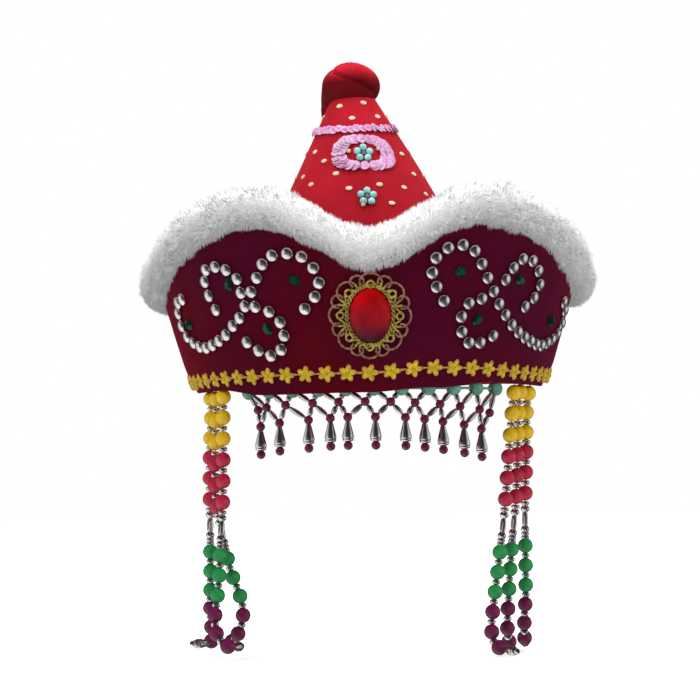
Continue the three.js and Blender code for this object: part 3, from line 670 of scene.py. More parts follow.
def lace_look(colour):
    """Metallic sewing thread of the medallion's lace, wound tightly."""
    return look(colour, 0.4, (620.0, 3000.0), 0.25, {"Roughness": 0.4, "Metallic": 0.4})


def bead_look(colour, rough, **extra):
    """Plain glass or resin bead."""
    values = {"Roughness": rough, "Coat Weight": 0.3, "Coat Roughness": 0.1}
    return look(colour, 0.7, (300.0, 1500.0), 0.03, values, **extra)


LOOKS = {
    # Felt with painted shade: darker towards the cone's foot, brighter near its top
    "Red felt": look(
        "felt", 0.8, (45.0, 1400.0), 0.12, sheen(0.7, 0.12, 0.2, 0.5, (1.0, 0.08, 0.08)),
        fade={"by": "height", "start": 0.06, "end": 0.14, "least": 0.6},
    ),
    "Velvet": look(
        "velvet", (0.05, 0.0016, 0.016), (14.0, 2200.0), 0.18,
        sheen(0.85, 0.04, 0.4, 0.35, (0.5, 0.004, 0.036)),
    ),
    # Velvet with painted light on top and painted shade below: bright red above, dark burgundy lower down
    "Knot velvet": look(
        "knot", 0.6, (70.0, 1800.0), 0.2, sheen(0.7, 0.08, 0.25, 0.4, (0.6, 0.03, 0.06)),
        fade={"by": "height", "start": 0.1525, "end": 0.159, "least": 0.26},
    ),
    # Fur with painted shade: greyer at each hair's root, in place of the hairs' own shadows, and on the
    # roll's underside; its glow is painted light, in place of light through the hairs
    "White fur": look(
        "fur", 0.96, (90.0, 600.0), 0.1,
        {
            "Roughness": 0.95,
            "Specular IOR Level": 0.05,
            "Sheen Weight": 0.3,
            "Sheen Roughness": 0.6,
            "Emission Color": (1.0, 0.985, 0.97, 1),
            "Emission Strength": 0.1,
        },
        fade={"by": "pile", "start": 0.0, "end": 1.0, "least": 0.5},
    ),
    # Gold thread that is tan at the tips of the petals
    "Gold thread": look(
        "gold", 0.6, (520.0, 2600.0), 0.3, {"Roughness": 0.45, "Metallic": 0.15},
        fade={"by": "edge", "start": 0.6, "end": 1.0, "above": (0.5, 0.24, 0.08, 1)},
    ),
    "Rose gold thread": lace_look("loops"),
    "Pale gold thread": lace_look("knots"),
    "Silver plate": look("silver", 0.8, (300.0, 900.0), 0.02, {"Roughness": 0.13, "Metallic": 1.0}),
    # Cut stone over foil: coloured metal under a clear coat
    "Green stone": look(
        "leaf", 0.45, (90.0, 400.0), 0.02,
        {"Roughness": 0.08, "Metallic": 0.6, "Coat Weight": 0.08, "Coat Roughness": 0.1},
    ),
    # The medallion's stone has painted light above and painted shade at its foot, nearly black violet, in
    # place of light passing through it
    "Ruby stone": look(
        "ruby", 0.45, (90.0, 400.0), 0.02, {"Roughness": 0.36, "Metallic": 0.12, "Specular IOR Level": 0.12},
        fade={"by": "height", "start": 0.018, "end": 0.037, "below": (0.045, 0.004, 0.015, 1)},
    ),
    # Pink sequins that turn lilac and white
    "Pink sequin": look(
        "sequin", (0.86, 0.68, 0.84), (330.0, 900.0), 0.05,
        {"Roughness": 0.28, "Metallic": 0.15, "Coat Weight": 0.6, "Coat Roughness": 0.08},
    ),
    "Foil dot": bead_look((1.0, 0.72, 0.5), 0.35),
    "Aqua bead": bead_look("aqua", 0.2),
    "Teal bead": bead_look("aqua", 0.2, dark=0.3),
    "Pale bead": bead_look((0.8, 0.72, 0.5), 0.25),
    "Wine bead": bead_look("wine", 0.28),
    "Turquoise bead": bead_look("turquoise", 0.42),
}


def finish(context, name):
    """The material of a look, made the first time that it is asked for."""
    if name in bpy.data.materials:
        return bpy.data.materials[name]
    row = LOOKS[name]
    rgb = named_colour(context, row["colour"]) if isinstance(row["colour"], str) else row["colour"]
    rgb = np.array(rgb) * row.get("dark", 1.0)
    shade = rgb * row["shade"] if isinstance(row["shade"], float) else row["shade"]
    material, shader = principled(name, row["values"])
    tree = material.node_tree
    add_fibre(tree, shader, (*rgb, 1), (*shade, 1), row["scales"], row["bump"], row.get("fade"))
    return material


# Making and dressing the pieces


def add_piece(name, shape, material, nodes=(), smooth=True, crease=None):
    """One mesh object from a shape, riding on the hat and standing for the named nodes."""
    points, faces = shape
    mesh = bpy.data.meshes.new(name)
    corners = np.concatenate([rows.ravel() for rows in faces])
    sizes = np.concatenate([np.full(len(rows), rows.shape[1]) for rows in faces])
    mesh.vertices.add(len(points))
    mesh.vertices.foreach_set("co", (points * MM).astype(np.float32).ravel())
    mesh.loops.add(len(corners))
    mesh.loops.foreach_set("vertex_index", corners.astype(np.int32))
    mesh.polygons.add(len(sizes))
    starts = np.concatenate([[0], np.cumsum(sizes)[:-1]])
    mesh.polygons.foreach_set("loop_start", starts.astype(np.int32))
    mesh.update(calc_edges=True)
    mesh.validate()
    mesh.polygons.foreach_set("use_smooth", np.full(len(sizes), smooth))
    if crease is not None:
        mesh.set_sharp_from_angle(angle=math.radians(crease))
    mesh.materials.append(material)
    piece = bpy.data.objects.new(name, mesh)
    bpy.context.scene.collection.objects.link(piece)
    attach(piece, "root")
    if nodes:
        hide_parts(*nodes)
    return piece


def point_values(piece, name, values):
    """Gives each point of a piece a value, or a colour where the values have rows."""
    values = np.asarray(values, np.float32)
    kind, key = ("FLOAT_COLOR", "color") if values.ndim == 2 else ("FLOAT", "value")
    piece.data.attributes.new(name, kind, "POINT").data.foreach_set(key, values.ravel())


# Sizes in metres and colours, with what each one is for
SIZES = {
    "scroll_bead": (0.0063, "Diameter of a silver bead in the scrolls"),
    "strand_bead": (0.0074, "Diameter of a coloured bead in the strands"),
    "rim_bead": (0.007, "Diameter of a bead under the rim"),
    "knot_bead": (0.0042, "Diameter of a bead in the fringe's knots"),
    "sequin": (0.0046, "Diameter of a sequin on the cone"),
    "foil_dot": (0.0034, "Width of a foil dot on the cone"),
    "trim_flower": (0.0086, "Diameter of a gold flower on the trim"),
}
COLOURS = {
    "felt": ((0.52, 0.012, 0.026), "Cone"),
    # The knot's colour holds painted light: the ball is the same dark velvet as the band, painted bright red
    # as if lit from above
    "knot": ((0.56, 0.014, 0.03), "Wrapped ball on top"),
    "velvet": ((0.07, 0.0012, 0.005), "Brim band"),
    "fur": ((0.98, 0.975, 0.97), "Fur trim"),
    "gold": ((0.74, 0.49, 0.012), "Flowers along the foot"),
    "loops": ((0.44, 0.22, 0.14), "Outer cords of the lace"),
    "knots": ((0.62, 0.47, 0.1), "Inner cords of the lace"),
    "silver": ((0.92, 0.9, 0.91), "Silver beads"),
    "ruby": ((0.6, 0.001, 0.003), "Medallion stone"),
    "leaf": ((0.003, 0.075, 0.036), "Leaf stones"),
    "sequin": ((0.86, 0.33, 0.68), "Cone trims"),
    "aqua": ((0.42, 0.88, 0.85), "Cone flowers"),
    "turquoise": ((0.1, 0.29, 0.21), "Rim beads"),
    "wine": ((0.12, 0.003, 0.035), "Beads of the fringe"),
    "yellow": ((0.74, 0.46, 0.003), "First strand beads"),
    "crimson": ((0.46, 0.01, 0.045), "Second strand beads"),
    "green": ((0.012, 0.27, 0.065), "Third strand beads"),
    "purple": ((0.15, 0.004, 0.06), "Last strand beads"),
}


def label(name):
    """A setting's name as the panel shows it."""
    return name.replace("_", " ").capitalize()


class HatSizes(bpy.types.PropertyGroup):
    """Sizes of the hat's beads, sequins and fur."""

    __annotations__ = {
        name: bpy.props.FloatProperty(name=label(name), description=use, default=value, unit="LENGTH")
        for name, (value, use) in SIZES.items()
    }
    __annotations__["hairs"] = bpy.props.IntProperty(
        name="Hairs", description="Hairs in the fur trim", default=96000, min=1000
    )


class HatColours(bpy.types.PropertyGroup):
    """Colours of the hat's finishes."""

    __annotations__ = {
        name: bpy.props.FloatVectorProperty(name=label(name), description=use, subtype="COLOR", default=value)
        for name, (value, use) in COLOURS.items()
    }


def size(context, name):
    """One of the hat's sizes in millimetres."""
    return getattr(context.scene.hat_sizes, name) / MM


def named_colour(context, name):
    """One of the hat's colours as three numbers."""
    return tuple(getattr(context.scene.hat_colours, name))


class HAT_OT_crown(bpy.types.Operator):
    """Builds the felt cone with its foil dots"""

    bl_idname = "hat.crown"
    bl_label = "Crown"

    def execute(self, context):
        d, share = np.meshgrid(whole_turn(180, 360), np.linspace(0, 1, 48))
        foot = rim_lift(d) * CROWN_FOOT_LIFT
        z = foot + (CROWN_HEIGHT + CROWN_LIP - foot) * share
        turn = np.radians(d)
        # Low folds of the sewn felt run up the cone and fade at both ends
        fade = np.clip(np.sin(np.pi * z / CROWN_HEIGHT), 0, 1) ** 2
        folds = 0.5 * np.sin(5 * turn + z / 19) * fade
        folds += 0.25 * np.sin(11 * turn - z / 13 + 1.7) * fade
        outer = on_crown(d, self.slope(d, z), folds - 0.25)
        inner = on_crown(d, self.slope(d, z) - FELT * share, folds - FELT)[::-1]
        top = outer[-1]
        middle = top.mean(0)
        steps = ((0.96, 0.3), (0.85, 0.4), (0.5, 0.4))
        rounded = [middle + (top - middle) * s + [0, 0, h] for s, h in steps]
        wall = np.concatenate([inner, outer, np.array(rounded)])
        shape = capped_surface(wall, inner[0].mean(0), middle + [0, 0, 0.4])
        add_piece("felt_cone", shape, finish(context, "Red felt"), ("crown",), crease=50)
        self.foil(context)
        return {"FINISHED"}

    @staticmethod
    def slope(d, z):
        """The height plus a lift by the sixth power of it: the cut edge slopes and its sides stand up."""
        aside = np.sin(np.radians(d))
        lift = CROWN_TOP_SLOPE * CROWN_TOP_RADIUS * aside + (2.1 - 1.2 * aside) * aside**2
        return z + lift * (z / CROWN_HEIGHT) ** 6

    @staticmethod
    def foil(context):
        """Oval foil dots: those that the front shows, and plain rows round the back."""
        rows = [np.array(FOIL_DOTS, float)]
        for height, count, start in FOIL_ROWS:
            turn = np.linspace(start, 360 - start, count)
            rows.append(np.stack([turn, np.full(count, height)], -1))
        turn, height = np.concatenate(rows).T
        radius = size(context, "foil_dot") / 2
        dot = lathe([(0, -0.4), (radius, -0.4), (radius, 0.1), (radius * 0.7, 0.22), (0, 0.27)], 12)
        dot[0][:, 1] *= 0.72
        shape = laid(dot, on_crown, turn, height, 0.1)
        add_piece("foil_dots", shape, finish(context, "Foil dot"))


class HAT_OT_top_knot(bpy.types.Operator):
    """Builds the wrapped velvet ball on top"""

    bl_idname = "hat.top_knot"
    bl_label = "Top knot"

    def execute(self, context):
        around = whole_turn(96)
        rise = np.linspace(-np.pi / 2, np.pi / 2, 60)[1:-1]
        a, t = np.meshgrid(around, rise)
        # The wrap's edges are two winding creases, and the cloth swells between them
        wind = np.sin(a + 2.4 * np.sin(t) + 1.15)
        crease = -np.exp(-((wind / 0.16) ** 2)) + 0.35 * np.abs(wind)
        lower = np.clip(-np.sin(t), 0, 1) * np.clip(-np.cos(a + 0.9), 0, 1)
        radius = 1 + crease * 0.15 * np.cos(t) ** 0.5 * (1 - np.clip(3 * lower, 0, 1))
        ball = np.stack([np.cos(t) * np.cos(a), np.cos(t) * np.sin(a), np.sin(t)], -1)
        # The cloth hangs lower on the left and behind
        grid = radius[..., None] * KNOT_HALF * ball + lower[..., None] * KNOT_FOLD + KNOT_MIDDLE
        shape = capped_surface(grid, (-6.6, 1, 139.5), (-6.6, 1, 163.9))
        material = finish(context, "Knot velvet")
        knot = add_piece("wrapped_knot", shape, material, ("top_knot",))
        return {"FINISHED"}


class HAT_OT_brim_band(bpy.types.Operator):
    """Builds the flaring velvet band"""

    bl_idname = "hat.brim_band"
    bl_label = "Brim band"

    def execute(self, context):
        degrees = whole_turn(360, 360)
        foot = rim_lift(degrees) - band_drop(degrees)
        top = fur_foot(degrees) + BAND_UNDER_FUR
        share = np.linspace(0, 1, 22)
        rows = []
        turn = np.radians(degrees)
        for s in share:
            z = foot + (top - foot) * s
            ripple = 0.22 * np.sin(9 * turn + 4 * s) * s + 0.15 * np.sin(23 * turn - 6 * s) * s
            rows.append(on_band(degrees, z, ripple - tuck(z) - 0.2 * (s == 0)))
        rows.append(on_band(degrees, top + 0.6, -0.8))
        rows.append(on_band(degrees, top + 0.6, -VELVET + 0.8))
        for s in share[::-1]:
            rows.append(on_band(degrees, foot + (top - foot) * s, -VELVET + 0.02))
        # The hem turns in and is sewn to the cone's foot
        hem = np.maximum(foot, rim_lift(degrees) * CROWN_FOOT_LIFT)
        rows.append(on_crown(degrees, hem + 1.6, -1.0))
        rows.append(on_crown(degrees, hem + 0.4, -1.0))
        rows.append(on_band(degrees, foot - 0.7, -VELVET + 0.3))
        shape = ring_surface(np.array(rows))
        add_piece("velvet_band", shape, finish(context, "Velvet"), ("brim_band",), crease=60)
        return {"FINISHED"}


class HAT_OT_fur(bpy.types.Operator):
    """Builds the fur roll along the band's top edge"""

    bl_idname = "hat.fur"
    bl_label = "Fur trim"

    @staticmethod
    def lumps(degrees, turn):
        """How much fuller the fur is at a place: a sum of slow waves round the band and round the roll."""
        a, t = np.radians(degrees), np.radians(turn)
        waves = 0.035 * np.sin(13 * a + 0.4) + 0.03 * np.sin(29 * a + 2 * t) + 0.03 * np.sin(47 * a - t)
        return 1 + waves + 0.02 * np.sin(71 * a + 3 * t)

    @classmethod
    def section(cls, degrees, turn, half):
        """The roll: middle + half sizes times (cos t outwards, sin t up)."""
        t = np.radians(turn)
        full = cls.lumps(degrees, turn)
        middle = fur_foot(degrees) + FUR_MIDDLE[1]
        up = middle + half[1] * full * np.sin(t)
        out = FUR_MIDDLE[0] + half[0] * full * np.cos(t) - FLARE * (up - middle)
        return on_band(degrees, up, out)

    def execute(self, context):
        material = finish(context, "White fur")
        t, d = np.meshgrid(whole_turn(28, 360), whole_turn(420, 360))
        # The core has no painted shade values of its own, so it takes the fur's darkest painted shade, half
        # as bright, as the depth between the hairs
        core = ring_surface(self.section(d, t, FUR_CORE))
        add_piece("fur_core", core, material, ("fur_trim",))
        rng = np.random.default_rng(11)
        count = context.scene.hat_sizes.hairs
        degrees = rng.uniform(0, 360, count)
        turns = rng.uniform(*FUR_ARC, count)
        roots = self.section(degrees, turns, (FUR_CORE[0] - 0.4, FUR_CORE[1] - 0.4))
        # Hairs lean to their tuft's middle, and each tuft to its own side
        cells = (220, 20)
        cell_turn = (FUR_ARC[1] - FUR_ARC[0]) / cells[1]
        row = (degrees / 360 * cells[0]).astype(int) % cells[0]
        column = ((turns - FUR_ARC[0]) / cell_turn).astype(int).clip(0, cells[1] - 1)
        jitter = rng.uniform(-0.35, 0.35, (*cells, 2))
        tuft_degrees = (row + 0.5 + jitter[row, column, 0]) * 360 / cells[0]
        tuft_turn = FUR_ARC[0] + (column + 0.5 + jitter[row, column, 1]) * cell_turn
        tips = self.section(degrees, turns, FUR_TIPS)
        tuft_tips = self.section(tuft_degrees, tuft_turn, (FUR_TIPS[0] + 0.3, FUR_TIPS[1] + 0.3))
        lean = rng.normal(0, 0.35, (*cells, 3))[row, column]
        pull = rng.uniform(0.05, 0.3, count)[:, None]
        tips = tips * (1 - pull) + tuft_tips * pull + lean
        length = rng.uniform(0.76, 1.0, count)[:, None]
        tips = roots + (tips - roots) * length + rng.normal(0, 0.25, (count, 3))
        outward = unit(self.section(degrees, turns, FUR_TIPS) - self.section(degrees, turns, (2.0, 2.0)))
        # Painted shade: the underside is greyer, by a smooth step of the sine of the way round the roll
        pile = smooth_step((np.sin(np.radians(turns)) + 0.7) / 1.1)
        self.blades(material, degrees, roots, tips, outward, pile, rng)
        return {"FINISHED"}

    @staticmethod
    def blades(material, degrees, roots, tips, outward, pile, rng):
        """Each hair is a slim pyramid: three points about its root and one at its tip."""
        count = len(roots)
        axes = axes_along(tips - roots, rng.normal(0, 1, (count, 3)))
        radius = rng.uniform(0.16, 0.3, count)[:, None]
        corners = []
        for k in range(3):
            angle = 2 * math.pi * k / 3
            offset = math.cos(angle) * axes[..., 0] + math.sin(angle) * axes[..., 1]
            corners.append(roots + radius * offset)
        points = np.stack([*corners, tips], 1)
        rounds = np.stack([unit(c - roots) * 0.07 + outward * 0.93 for c in corners] + [outward], 1)
        pattern = np.array([[0, 1, 3], [1, 2, 3], [2, 0, 3], [0, 2, 1]])
        for part, name in enumerate(("front_left", "back_left", "back_right", "front_right")):
            chosen = np.flatnonzero(((-degrees) % 360 // 90).astype(int) == part)
            some = points[chosen].reshape(-1, 3)
            faces = (pattern[None] + 4 * np.arange(len(chosen))[:, None, None]).reshape(-1, 3)
            piece = add_piece("fur_hairs_" + name, (some, [faces]), material)
            piece.visible_shadow = False
            # Painted shade: each hair's root is three quarters as bright as its tip, since the hairs cast no
            # shadows
            point_values(piece, "pile", (pile[chosen, None] * [0.75, 0.75, 0.75, 1.0]).ravel())
            normals = unit(rounds[chosen].reshape(-1, 3))
            piece.data.normals_split_custom_set_from_vertices(normals.tolist())


def flower(radius, petals, height, steps=6, knob=0.22):
    """A flower: reach R (0.5 + 0.5 |cos(n a / 2)|^1.2), and petals domed across and along."""
    sides = petals * steps
    a = whole_turn(sides)
    petal = np.abs(np.cos(petals * a / 2)) ** 1.2
    reach = radius * (0.5 + 0.5 * petal)
    rows = []
    dome = [(1.0, -0.35), (1.0, 0.1), (0.88, 0.62), (0.62, 1.0), (0.36, 0.55)]
    for s, h in [*dome, (knob, 0.5), (knob * 0.7, 1.1)]:
        swell = h if h <= 0.1 else h * (0.45 + 0.55 * petal)
        rows.append(np.stack([s * reach * np.cos(a), s * reach * np.sin(a), swell * height + 0 * a], -1))
    return capped_surface(np.array(rows), (0, 0, -0.35 * height), (0, 0, 1.2 * height))


class HAT_OT_flower_trim(bpy.types.Operator):
    """Builds the row of gold flowers along the band's foot"""

    bl_idname = "hat.flower_trim"
    bl_label = "Flower trim"

    def execute(self, context):
        count = TRIM_FLOWERS
        degrees = even_degrees(count, BAND_HALF_WIDTH, BAND_HALF_DEPTH) + TRIM_START
        height = TRIM_HEIGHT + rim_lift(degrees)
        turn = 11 * np.sin(3.1 * np.arange(count))
        radius = size(context, "trim_flower") / 2
        blossom = flower(radius, 5, 1.1)
        parts = [laid(blossom, on_band, degrees, height, 0.5 - tuck(height), turn)]
        around = whole_turn(720, 360)
        for wave in (1.0, -1.0):
            z = TRIM_HEIGHT + rim_lift(around) + wave * 0.3 * np.cos(np.radians(around * count))
            path = on_band(around, z, 0.35 - tuck(z))
            normals = surface_axes(on_band, around, z, 0)[..., 2]
            parts.append(tube(path, 0.3, 6, normals, wrap=True))
        gold = finish(context, "Gold thread")
        piece = add_piece("gold_flowers", merge(parts), gold, ("flower_trim",))
        tips = np.hypot(*blossom[0][:, :2].T) / radius
        thread = sum(len(part[0]) for part in parts[1:])
        point_values(piece, "edge", np.append(np.tile(tips, count), np.full(thread, 0.9)))
        return {"FINISHED"}


def cord_on_face(curve, out, radius, wrap=False, sides=8):
    """A wound gold cord along a flat curve round the medallion's middle, laid on the band's face."""
    x, y = curve.T
    path = on_face(x, MEDALLION_UP + y, out)
    normals = surface_axes(on_face, x, MEDALLION_UP + y, out)[..., 2]
    return tube(path, radius, sides, normals, wrap=wrap, twist=2.4, ridges=2, depth=0.16)


class HAT_OT_medallion(bpy.types.Operator):
    """Builds the lace medallion and its cut stone"""

    bl_idname = "hat.medallion"
    bl_label = "Medallion"

    def execute(self, context):
        for name, parts, thread in (
            ("lace_loops", self.loops(), "Rose gold thread"),
            ("lace_knots", self.knots(), "Pale gold thread"),
        ):
            add_piece(name, merge(parts), finish(context, thread), ("medallion_frame",))
        shape = laid(self.stone(), on_face, np.array([0.0]), np.array([MEDALLION_UP]), 1.9)
        ruby = finish(context, "Ruby stone")
        add_piece("ruby_stone", shape, ruby, ("medallion_stone",), smooth=False)
        return {"FINISHED"}

    @staticmethod
    def spot(step, share):
        """A point on the lace's oval by scallops round it and a share of its size, and the directions out of
        it and across."""
        turn = 2 * math.pi * step / SCALLOPS + SCALLOP_START
        middle = np.array([LACE_HALF[0] * share * math.sin(turn), LACE_HALF[1] * share * math.cos(turn)])
        radial = unit(middle)
        return middle, radial, np.array([radial[1], -radial[0]])

    @classmethod
    def loops(cls):
        """Eight large and eight small scallops: open arcs, middle + r (cos t out + sin t across)."""
        parts = []
        turn = np.linspace(-0.74, 0.74, 44) * np.pi
        for k in range(SCALLOPS):
            for step, share, reach in ((0.0, 0.775, 4.35), (0.5, 0.85, 2.7)):
                middle, radial, across = cls.spot(k + step, share)
                ring = reach * (np.cos(turn)[:, None] * radial + 1.12 * np.sin(turn)[:, None] * across)
                parts.append(cord_on_face(middle + ring, LACE_OUT + 0.3 * np.cos(2 * turn), 0.52))
        return parts

    @classmethod
    def knots(cls):
        """A ring in each large scallop, two bars beside it and in the small one, and two crossing ropes."""
        parts = []
        turn = whole_turn(26)
        step = np.linspace(-1, 1, 9)[:, None]
        for k in range(SCALLOPS):
            middle, radial, across = cls.spot(k, 0.73)
            ring = 1.55 * (np.cos(turn)[:, None] * radial + np.sin(turn)[:, None] * across)
            parts.append(cord_on_face(middle + ring, LACE_OUT + 0.55, 0.5, wrap=True))
            for aside in (-1.0, 1.0):
                middle, radial, across = cls.spot(k + 0.5, 0.72)
                bar = 1.5 * step * radial + aside * (0.75 + 0.5 * step) * across
                parts.append(cord_on_face(middle + bar, LACE_OUT + 0.45, 0.5))
                middle, radial, across = cls.spot(k, 0.69)
                bar = 1.2 * step * radial + aside * (2.6 - 0.9 * step) * across
                parts.append(cord_on_face(middle + bar, LACE_OUT + 0.4, 0.48))
        a = whole_turn(420)
        for phase, out in ((0.0, 0.35), (math.pi, -0.35)):
            swing = 0.7 * np.sin(20 * a + phase)
            x = (STONE_HALF[0] + 1.05 + swing) * np.sin(a)
            y = (STONE_HALF[1] + 1.05 + swing) * np.cos(a)
            rise = LACE_OUT + 0.5 + out * np.cos(20 * a)
            parts.append(cord_on_face(np.stack([x, y], -1), rise, 0.4, wrap=True, sides=6))
        return parts

    @staticmethod
    def stone():
        """An oval stone: rings of points that step half a facet round between the rows."""
        sides = 16
        rows = []
        for share, height, step in (
            (0.94, -0.9, 0.0), (1.0, 0.0, 0.0), (0.985, 0.6, 0.0),
            (0.84, 2.6, 0.5), (0.66, 4.1, 0.0), (0.5, 4.75, 0.5),
        ):
            a = 2 * np.pi * (np.arange(sides) + step) / sides
            x, y = STONE_HALF[0] * share * np.sin(a), STONE_HALF[1] * share * np.cos(a)
            rows.append(np.stack([x, y, height + 0 * a], -1))
        return facets(rows, (0, 0, -0.9), (0, 0, 4.75))


def facets(rows, first, last):
    """A cut stone: triangles between rows of points, where a row starts level with the one below it or half
    a step before or after it."""
    points = np.vstack([np.array(rows).reshape(-1, 3), [first], [last]])
    sides = len(rows[0])
    i = np.arange(sides)
    after = (i + 1) % sides
    starts = [math.atan2(row[0][0], row[0][1]) for row in rows]
    triangles = []
    for k in range(len(rows) - 1):
        a, b = k * sides, (k + 1) * sides
        if starts[k + 1] - starts[k] > 1e-6:
            pair = ((a + i, a + after, b + i), (a + after, b + after, b + i))
        elif starts[k] - starts[k + 1] > 1e-6:
            pair = ((a + i, b + after, b + i), (a + i, a + after, b + after))
        else:
            pair = ((a + i, a + after, b + after), (a + i, b + after, b + i))
        triangles += [np.stack(corners, -1) for corners in pair]
    top = (len(rows) - 1) * sides
    triangles.append(np.stack([np.full(sides, len(points) - 2), after, i], -1))
    triangles.append(np.stack([np.full(sides, len(points) - 1), top + i, top + after], -1))
    return closed(points, triangles)


class HAT_OT_scrolls(bpy.types.Operator):
    """Builds the four scrolls of silver beads"""

    bl_idname = "hat.scrolls"
    bl_label = "Scrolls"

    def execute(self, context):
        diameter = size(context, "scroll_bead")
        for name, beads in SCROLL_BEADS.items():
            way, up = np.array(beads, float).T
            way, up = way * SCROLL_STRETCH, up + SCROLL_RISE
            shape = laid(self.stud(diameter / 2), on_face, way, up, 0.0)
            add_piece(name + "_beads", shape, finish(context, "Silver plate"), (name,))
        return {"FINISHED"}

    @staticmethod
    def stud(radius):
        """A domed bead sewn flat: radius r cos t and height 0.55 + h sin t, over a rounded foot."""
        t = np.linspace(0, np.pi / 2, 10)
        dome = np.stack([radius * np.cos(t), 0.55 + STUD_HEIGHT * np.sin(t)], -1)
        return lathe(np.vstack([[(0, -0.1), (radius * 0.9, -0.1), (radius * 0.98, 0.2)], dome]), 20)


class HAT_OT_leaf_stones(bpy.types.Operator):
    """Builds the leaf-shaped stones"""

    bl_idname = "hat.leaf_stones"
    bl_label = "Leaf stones"

    def execute(self, context):
        material = finish(context, "Green stone")
        a = whole_turn(12)
        pointed = 1 - 0.28 * np.abs(np.sin(a)) ** 1.5
        rows = []
        for share, height in ((1.0, 0.0), (1.0, 0.35), (0.55, LEAF_HEIGHT)):
            x = LEAF_HALF[0] * share * np.sin(a) * pointed * 1.3
            y = LEAF_HALF[1] * share * np.cos(a)
            rows.append(np.stack([x, y, height + 0 * a], -1))
        stone = facets(rows, (0, 0, 0), (0, 0, LEAF_HEIGHT))
        for name, way, up, turn in LEAVES:
            shape = laid(stone, on_face, np.array([float(way)]), np.array([float(up)]), 0.15, turn)
            add_piece(name + "_cut", shape, material, (name,), smooth=False)
        return {"FINISHED"}


class HAT_OT_sequins(bpy.types.Operator):
    """Builds the sequin band and the sequin oval on the cone"""

    bl_idname = "hat.sequins"
    bl_label = "Sequins"

    def execute(self, context):
        degrees = whole_turn(SEQUIN_BAND_COUNT, 360)
        turn = np.radians(degrees)
        wave = 0.5 * np.sin(turn) + 0.35 * np.cos(17 * turn)
        height = SEQUIN_BAND_HEIGHT + 1.2 - 2.5 * np.cos(turn) + wave
        self.string(context, "sequins_band", [(degrees, height)], "sequin_band")
        width = crown_half_width(OVAL["height"])
        rows = []
        for beads, share, tall in ((32, 1.0, 1.0), (24, 0.74, 0.87)):
            turn = whole_turn(beads)
            # The oval is squarish: each sine is raised to a power below one and keeps its sign
            across = np.sign(np.sin(turn)) * np.abs(np.sin(turn)) ** 0.7
            rise = np.sign(np.cos(turn)) * np.abs(np.cos(turn)) ** 0.7
            degrees = OVAL["degrees"] + np.degrees(share * OVAL["half_width"] * across / width)
            rows.append((degrees, OVAL["height"] + tall * OVAL["half_tall"] * rise))
        self.string(context, "sequins_oval", rows, "sequin_oval")
        return {"FINISHED"}

    @staticmethod
    def string(context, name, rows, node):
        """Cupped sequins that overlap like shingles, each tilted along its string and a little at random."""
        radius = size(context, "sequin") / 2
        cup = [(0.4, 0), (radius * 0.6, 0.1), (radius, 0.4), (radius, 0.58), (radius * 0.6, 0.3), (0.4, 0.2)]
        disc = lathe(cup, 12)
        rng = np.random.default_rng(5)
        parts = []
        for degrees, height in rows:
            places = on_crown(degrees, height, 0.45)
            normal = surface_axes(on_crown, degrees, height, 0)[..., 2]
            ahead = unit(np.roll(places, -1, 0) - np.roll(places, 1, 0))
            z = unit(normal + 0.24 * ahead + rng.normal(0, 0.12, normal.shape))
            parts.append(copies(disc, places + rng.normal(0, 0.12, places.shape), axes_along(z, ahead)))
            parts.append(tube(on_crown(degrees, height, 0.4), 0.5, 6, normal, wrap=True))
        add_piece(name, merge(parts), finish(context, "Pink sequin"), (node,))


class HAT_OT_cone_flowers(bpy.types.Operator):
    """Builds the two flowers of aqua beads"""

    bl_idname = "hat.cone_flowers"
    bl_label = "Cone flowers"

    def execute(self, context):
        seed = bead(3.6, 0.4, 14, 9)
        small = bead(2.2, 0.4, 12, 8)
        for name, degrees, height in CONE_FLOWERS:
            turn = 2 * np.pi * (np.arange(5) + 0.04) / 5
            d = degrees + np.degrees(PETAL_RING * np.sin(turn) / crown_half_width(height))
            petals = self.sewn(seed, d, height + PETAL_RING * np.cos(turn), 1.5)
            add_piece(name + "_petals", petals, finish(context, "Aqua bead"), (name,))
            eye = self.sewn(small, np.array([degrees]), np.array([height]), 1.7)
            add_piece(name + "_eye", eye, finish(context, "Teal bead"))
        # Pale beads beside the flowers
        pale = self.sewn(small, np.array([-9.6, 20.5, 0.2]), np.array([115.0, 116.2, 86.4]), 1.1)
        add_piece("pale_beads", pale, finish(context, "Pale bead"))
        return {"FINISHED"}

    @staticmethod
    def sewn(shape, degrees, height, out):
        """Beads on the cone with their holes along its surface."""
        axes = surface_axes(on_crown, degrees, height, 0)
        return copies(shape, on_crown(degrees, height, out), axes_along(axes[..., 0], axes[..., 2]))


def fringe_knots(knot, places, slips):
    """Knots of the fringe's net: even degrees along the rim plus their slips, and a height that sags by the
    square of the way from the middle and tilts with it."""
    degrees = FRINGE_MIDDLE + FRINGE_STEP * (places - (FRINGE_DROPS - 1) / 2)
    share = (degrees - FRINGE_MIDDLE) / FRINGE_REACH
    height = knot[0] - knot[1] * share**2 - FRINGE_TILT * share
    return oval(RIM_OVAL[0] + 1, RIM_OVAL[1] + 1, degrees + slips, height)


